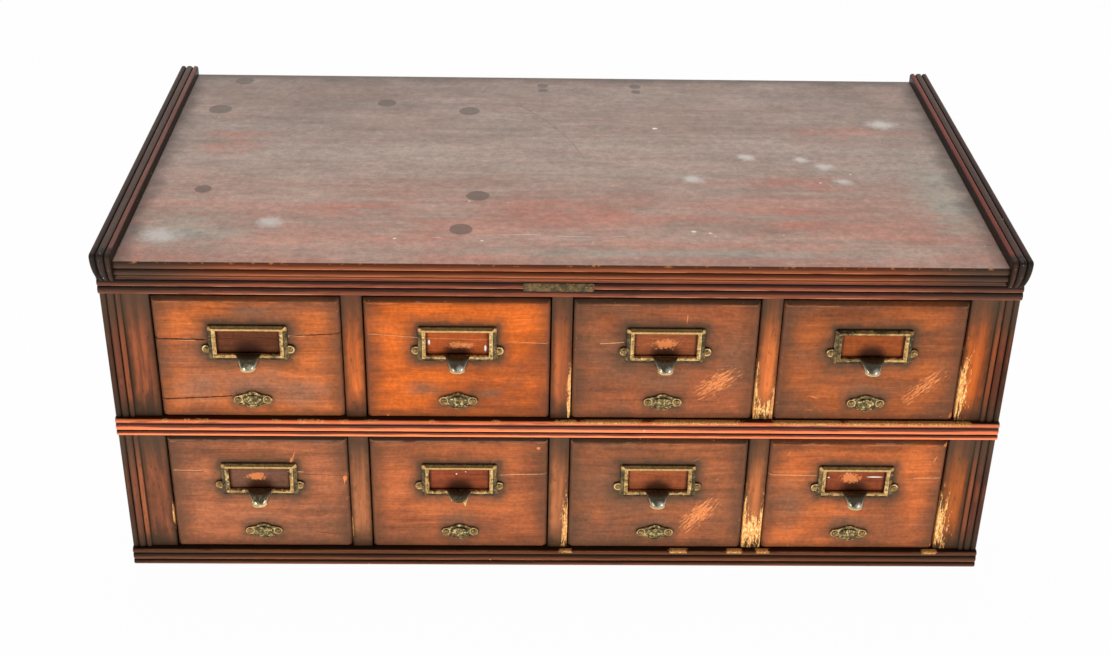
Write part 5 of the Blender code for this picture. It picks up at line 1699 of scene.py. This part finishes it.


# How far the tarnish is rubbed off each pull: everywhere, more on the right or the top bar, and flaked on
# the hood; and how strong the painted highlight on each hood is
rubbing = {
    "upper_drawer_1": {"all": 0.62, "right": 0.0, "top": 0.15, "flaked": 0.5, "hoodHighlight": 0.9},
    "upper_drawer_2": {"all": 0.70, "right": 0.15, "top": 0.2, "flaked": 0.0, "hoodHighlight": 1.0},
    "upper_drawer_3": {"all": 0.72, "right": 0.05, "top": 0.1, "flaked": 0.4, "hoodHighlight": 0.8},
    "upper_drawer_4": {"all": 0.30, "right": 0.35, "top": -0.05, "flaked": 0.1, "hoodHighlight": 0.7},
    "lower_drawer_1": {"all": 0.55, "right": 0.05, "top": 0.1, "flaked": 0.9, "hoodHighlight": 0.1},
    "lower_drawer_2": {"all": 0.58, "right": 0.10, "top": 0.1, "flaked": 0.6, "hoodHighlight": 0.0},
    "lower_drawer_3": {"all": 0.58, "right": -0.05, "top": 0.1, "flaked": 0.2, "hoodHighlight": 0.8},
    "lower_drawer_4": {"all": 0.62, "right": 0.1, "top": 0.1, "flaked": 0.2, "hoodHighlight": 0.8},
}
for index, name in enumerate(drawerNames):
    pullLow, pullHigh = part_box(f"{name}_pull")
    plateLow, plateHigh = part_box(f"{name}_plate")
    centreX = (pullLow.x + pullHigh.x) / 2
    pullZ = pullHigh.z - pullShape["frame"][1] / 2
    plateZ = (plateLow.z + plateHigh.z) / 2
    brass = makePullBrass(f"{name}_pull", centreX, pullZ, pullHigh.y, rubbing[name])
    mesh = (brokenPullMesh if name == brokenPull else pullMesh).copy()
    mesh.transform(Matrix.Translation((centreX, pullHigh.y, pullZ)))
    addPiece(f"{name}_pull_finish", mesh, brass, name, [f"{name}_pull"])
    mesh = plateMesh.copy()
    mesh.transform(Matrix.Translation((centreX, plateHigh.y, plateZ)))
    plateBrass = makePlateBrass(f"{name}_plate", plateLow, plateHigh)
    addPiece(f"{name}_plate_finish", mesh, plateBrass, name, [f"{name}_plate"])
    ears = [(centreX + side * pullShape["earSpacing"] / 2, pullHigh.y - pullShape["earThickness"],
             pullZ - pullShape["earDrop"]) for side in (-1, 1)]
    pins = [(centreX + side * plateShape["spacing"] / 2, plateHigh.y - 0.0012, plateZ) for side in (-1, 1)]
    addScrews(f"{name}_screws", ears + pins, name,
              {"Radius": 0.0027, "Dome": 0.0011, "Seed": index + 3})
print("hardware fitted")

# Bare plate on the top rail
namePlateBrass = makeBareBrass("name_plate")
namePlate = roundedCopy("name_plate", 0.0003, namePlateBrass, "case")
namePlateRise = 0.0018
namePlate.data.transform(Matrix.Translation((0.0, 0.0, namePlateRise)))
plateLow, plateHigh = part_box("name_plate")
pinZ = (plateLow.z + plateHigh.z) / 2 + namePlateRise
addScrews("name_plate_pins",
          [(plateLow.x + 0.003, plateLow.y, pinZ), (plateHigh.x - 0.003, plateLow.y, pinZ)],
          "case", {"Radius": 0.0012, "Dome": 0.0005, "Slot": 0.0003})

# Studio: white floor that also glows as bounce light from below, soft light from the front and above
studio = {"floorSize": 12.0, "floor": 0.85, "seen": 0.98, "bounce": 2.1,
          "worldLight": 0.14, "worldDark": 0.10, "worldBright": 1.0}


def makeFloor(settings):
    reach = settings["floorSize"] / 2
    mesh = bpy.data.meshes.new("studioFloor")
    mesh.from_pydata([(-reach, -reach, -0.0005), (reach, -reach, -0.0005), (reach, reach, -0.0005),
                      (-reach, reach, -0.0005)], [], [(0, 1, 2, 3)])
    material = bpy.data.materials.new("studioFloor")
    material.use_nodes = True
    bench = Bench(material.node_tree)
    material.node_tree.nodes.remove(material.node_tree.nodes["Principled BSDF"])
    end = material.node_tree.nodes["Material Output"]
    path = bench.outputs(bench.add("ShaderNodeLightPath"))
    direct = bench.larger(bench.larger(path["Is Camera Ray"], path["Is Glossy Ray"]),
                          path["Is Transmission Ray"])
    paint = bench.add("ShaderNodeBsdfDiffuse", {"Color": 3 * (settings["floor"],)})
    glow = bench.add("ShaderNodeEmission",
                     {"Strength": bench.span(direct, 0.0, 1.0, settings["bounce"], 1.0)})
    both = bench.add("ShaderNodeMixShader", {0: settings["seen"], 1: paint.outputs[0], 2: glow.outputs[0]})
    bench.feed(end.inputs["Surface"], both.outputs[0])
    floor = bpy.data.objects.new("studioFloor", mesh)
    mesh.materials.append(material)
    bpy.context.scene.collection.objects.link(floor)


def makeWorld(settings):
    world = bpy.data.worlds.new("studioWorld")
    bpy.context.scene.world = world
    world.use_nodes = True
    bench = Bench(world.node_tree)
    back = world.node_tree.nodes["Background"]
    path = bench.outputs(bench.add("ShaderNodeLightPath"))
    _, depth, _ = bench.split(bench.add("ShaderNodeTexCoord").outputs["Generated"])
    mirrored = bench.span(depth, -0.35, 0.45, settings["worldDark"], settings["worldBright"])
    seen = bench.larger(path["Is Camera Ray"], path["Is Transmission Ray"])
    strength = path["Is Glossy Ray"] * (mirrored - settings["worldLight"]) + settings["worldLight"]
    strength = strength + seen * (1.0 - strength)
    back.inputs["Color"].default_value = (1.0, 1.0, 1.0, 1.0)
    bench.feed(back.inputs["Strength"], strength)


lamps = {
    "leftGlow": {"place": (-1.3, -1.8, 0.30), "aim": (0.0, -0.2, 0.18), "size": (0.5, 0.4), "power": 5.0},
    "rightGlow": {"place": (1.3, -1.8, 0.30), "aim": (0.0, -0.2, 0.18), "size": (0.5, 0.4), "power": 5.0},
    "topSoft": {"place": (0.0, 0.6, 2.2), "aim": (0.0, 0.0, 0.3), "size": (1.8, 1.2), "power": 32.0},
}


def makeLamp(name, settings):
    data = bpy.data.lights.new(name, "AREA")
    data.shape = "RECTANGLE"
    data.size, data.size_y = settings["size"]
    data.energy = settings["power"]
    lamp = bpy.data.objects.new(name, data)
    bpy.context.scene.collection.objects.link(lamp)
    lamp.location = settings["place"]
    heading = Vector(settings["aim"]) - Vector(settings["place"])
    lamp.rotation_euler = heading.to_track_quat("-Z", "Y").to_euler()


makeFloor(studio)
makeWorld(studio)
for name, settings in lamps.items():
    makeLamp(name, settings)
print("studio lit")
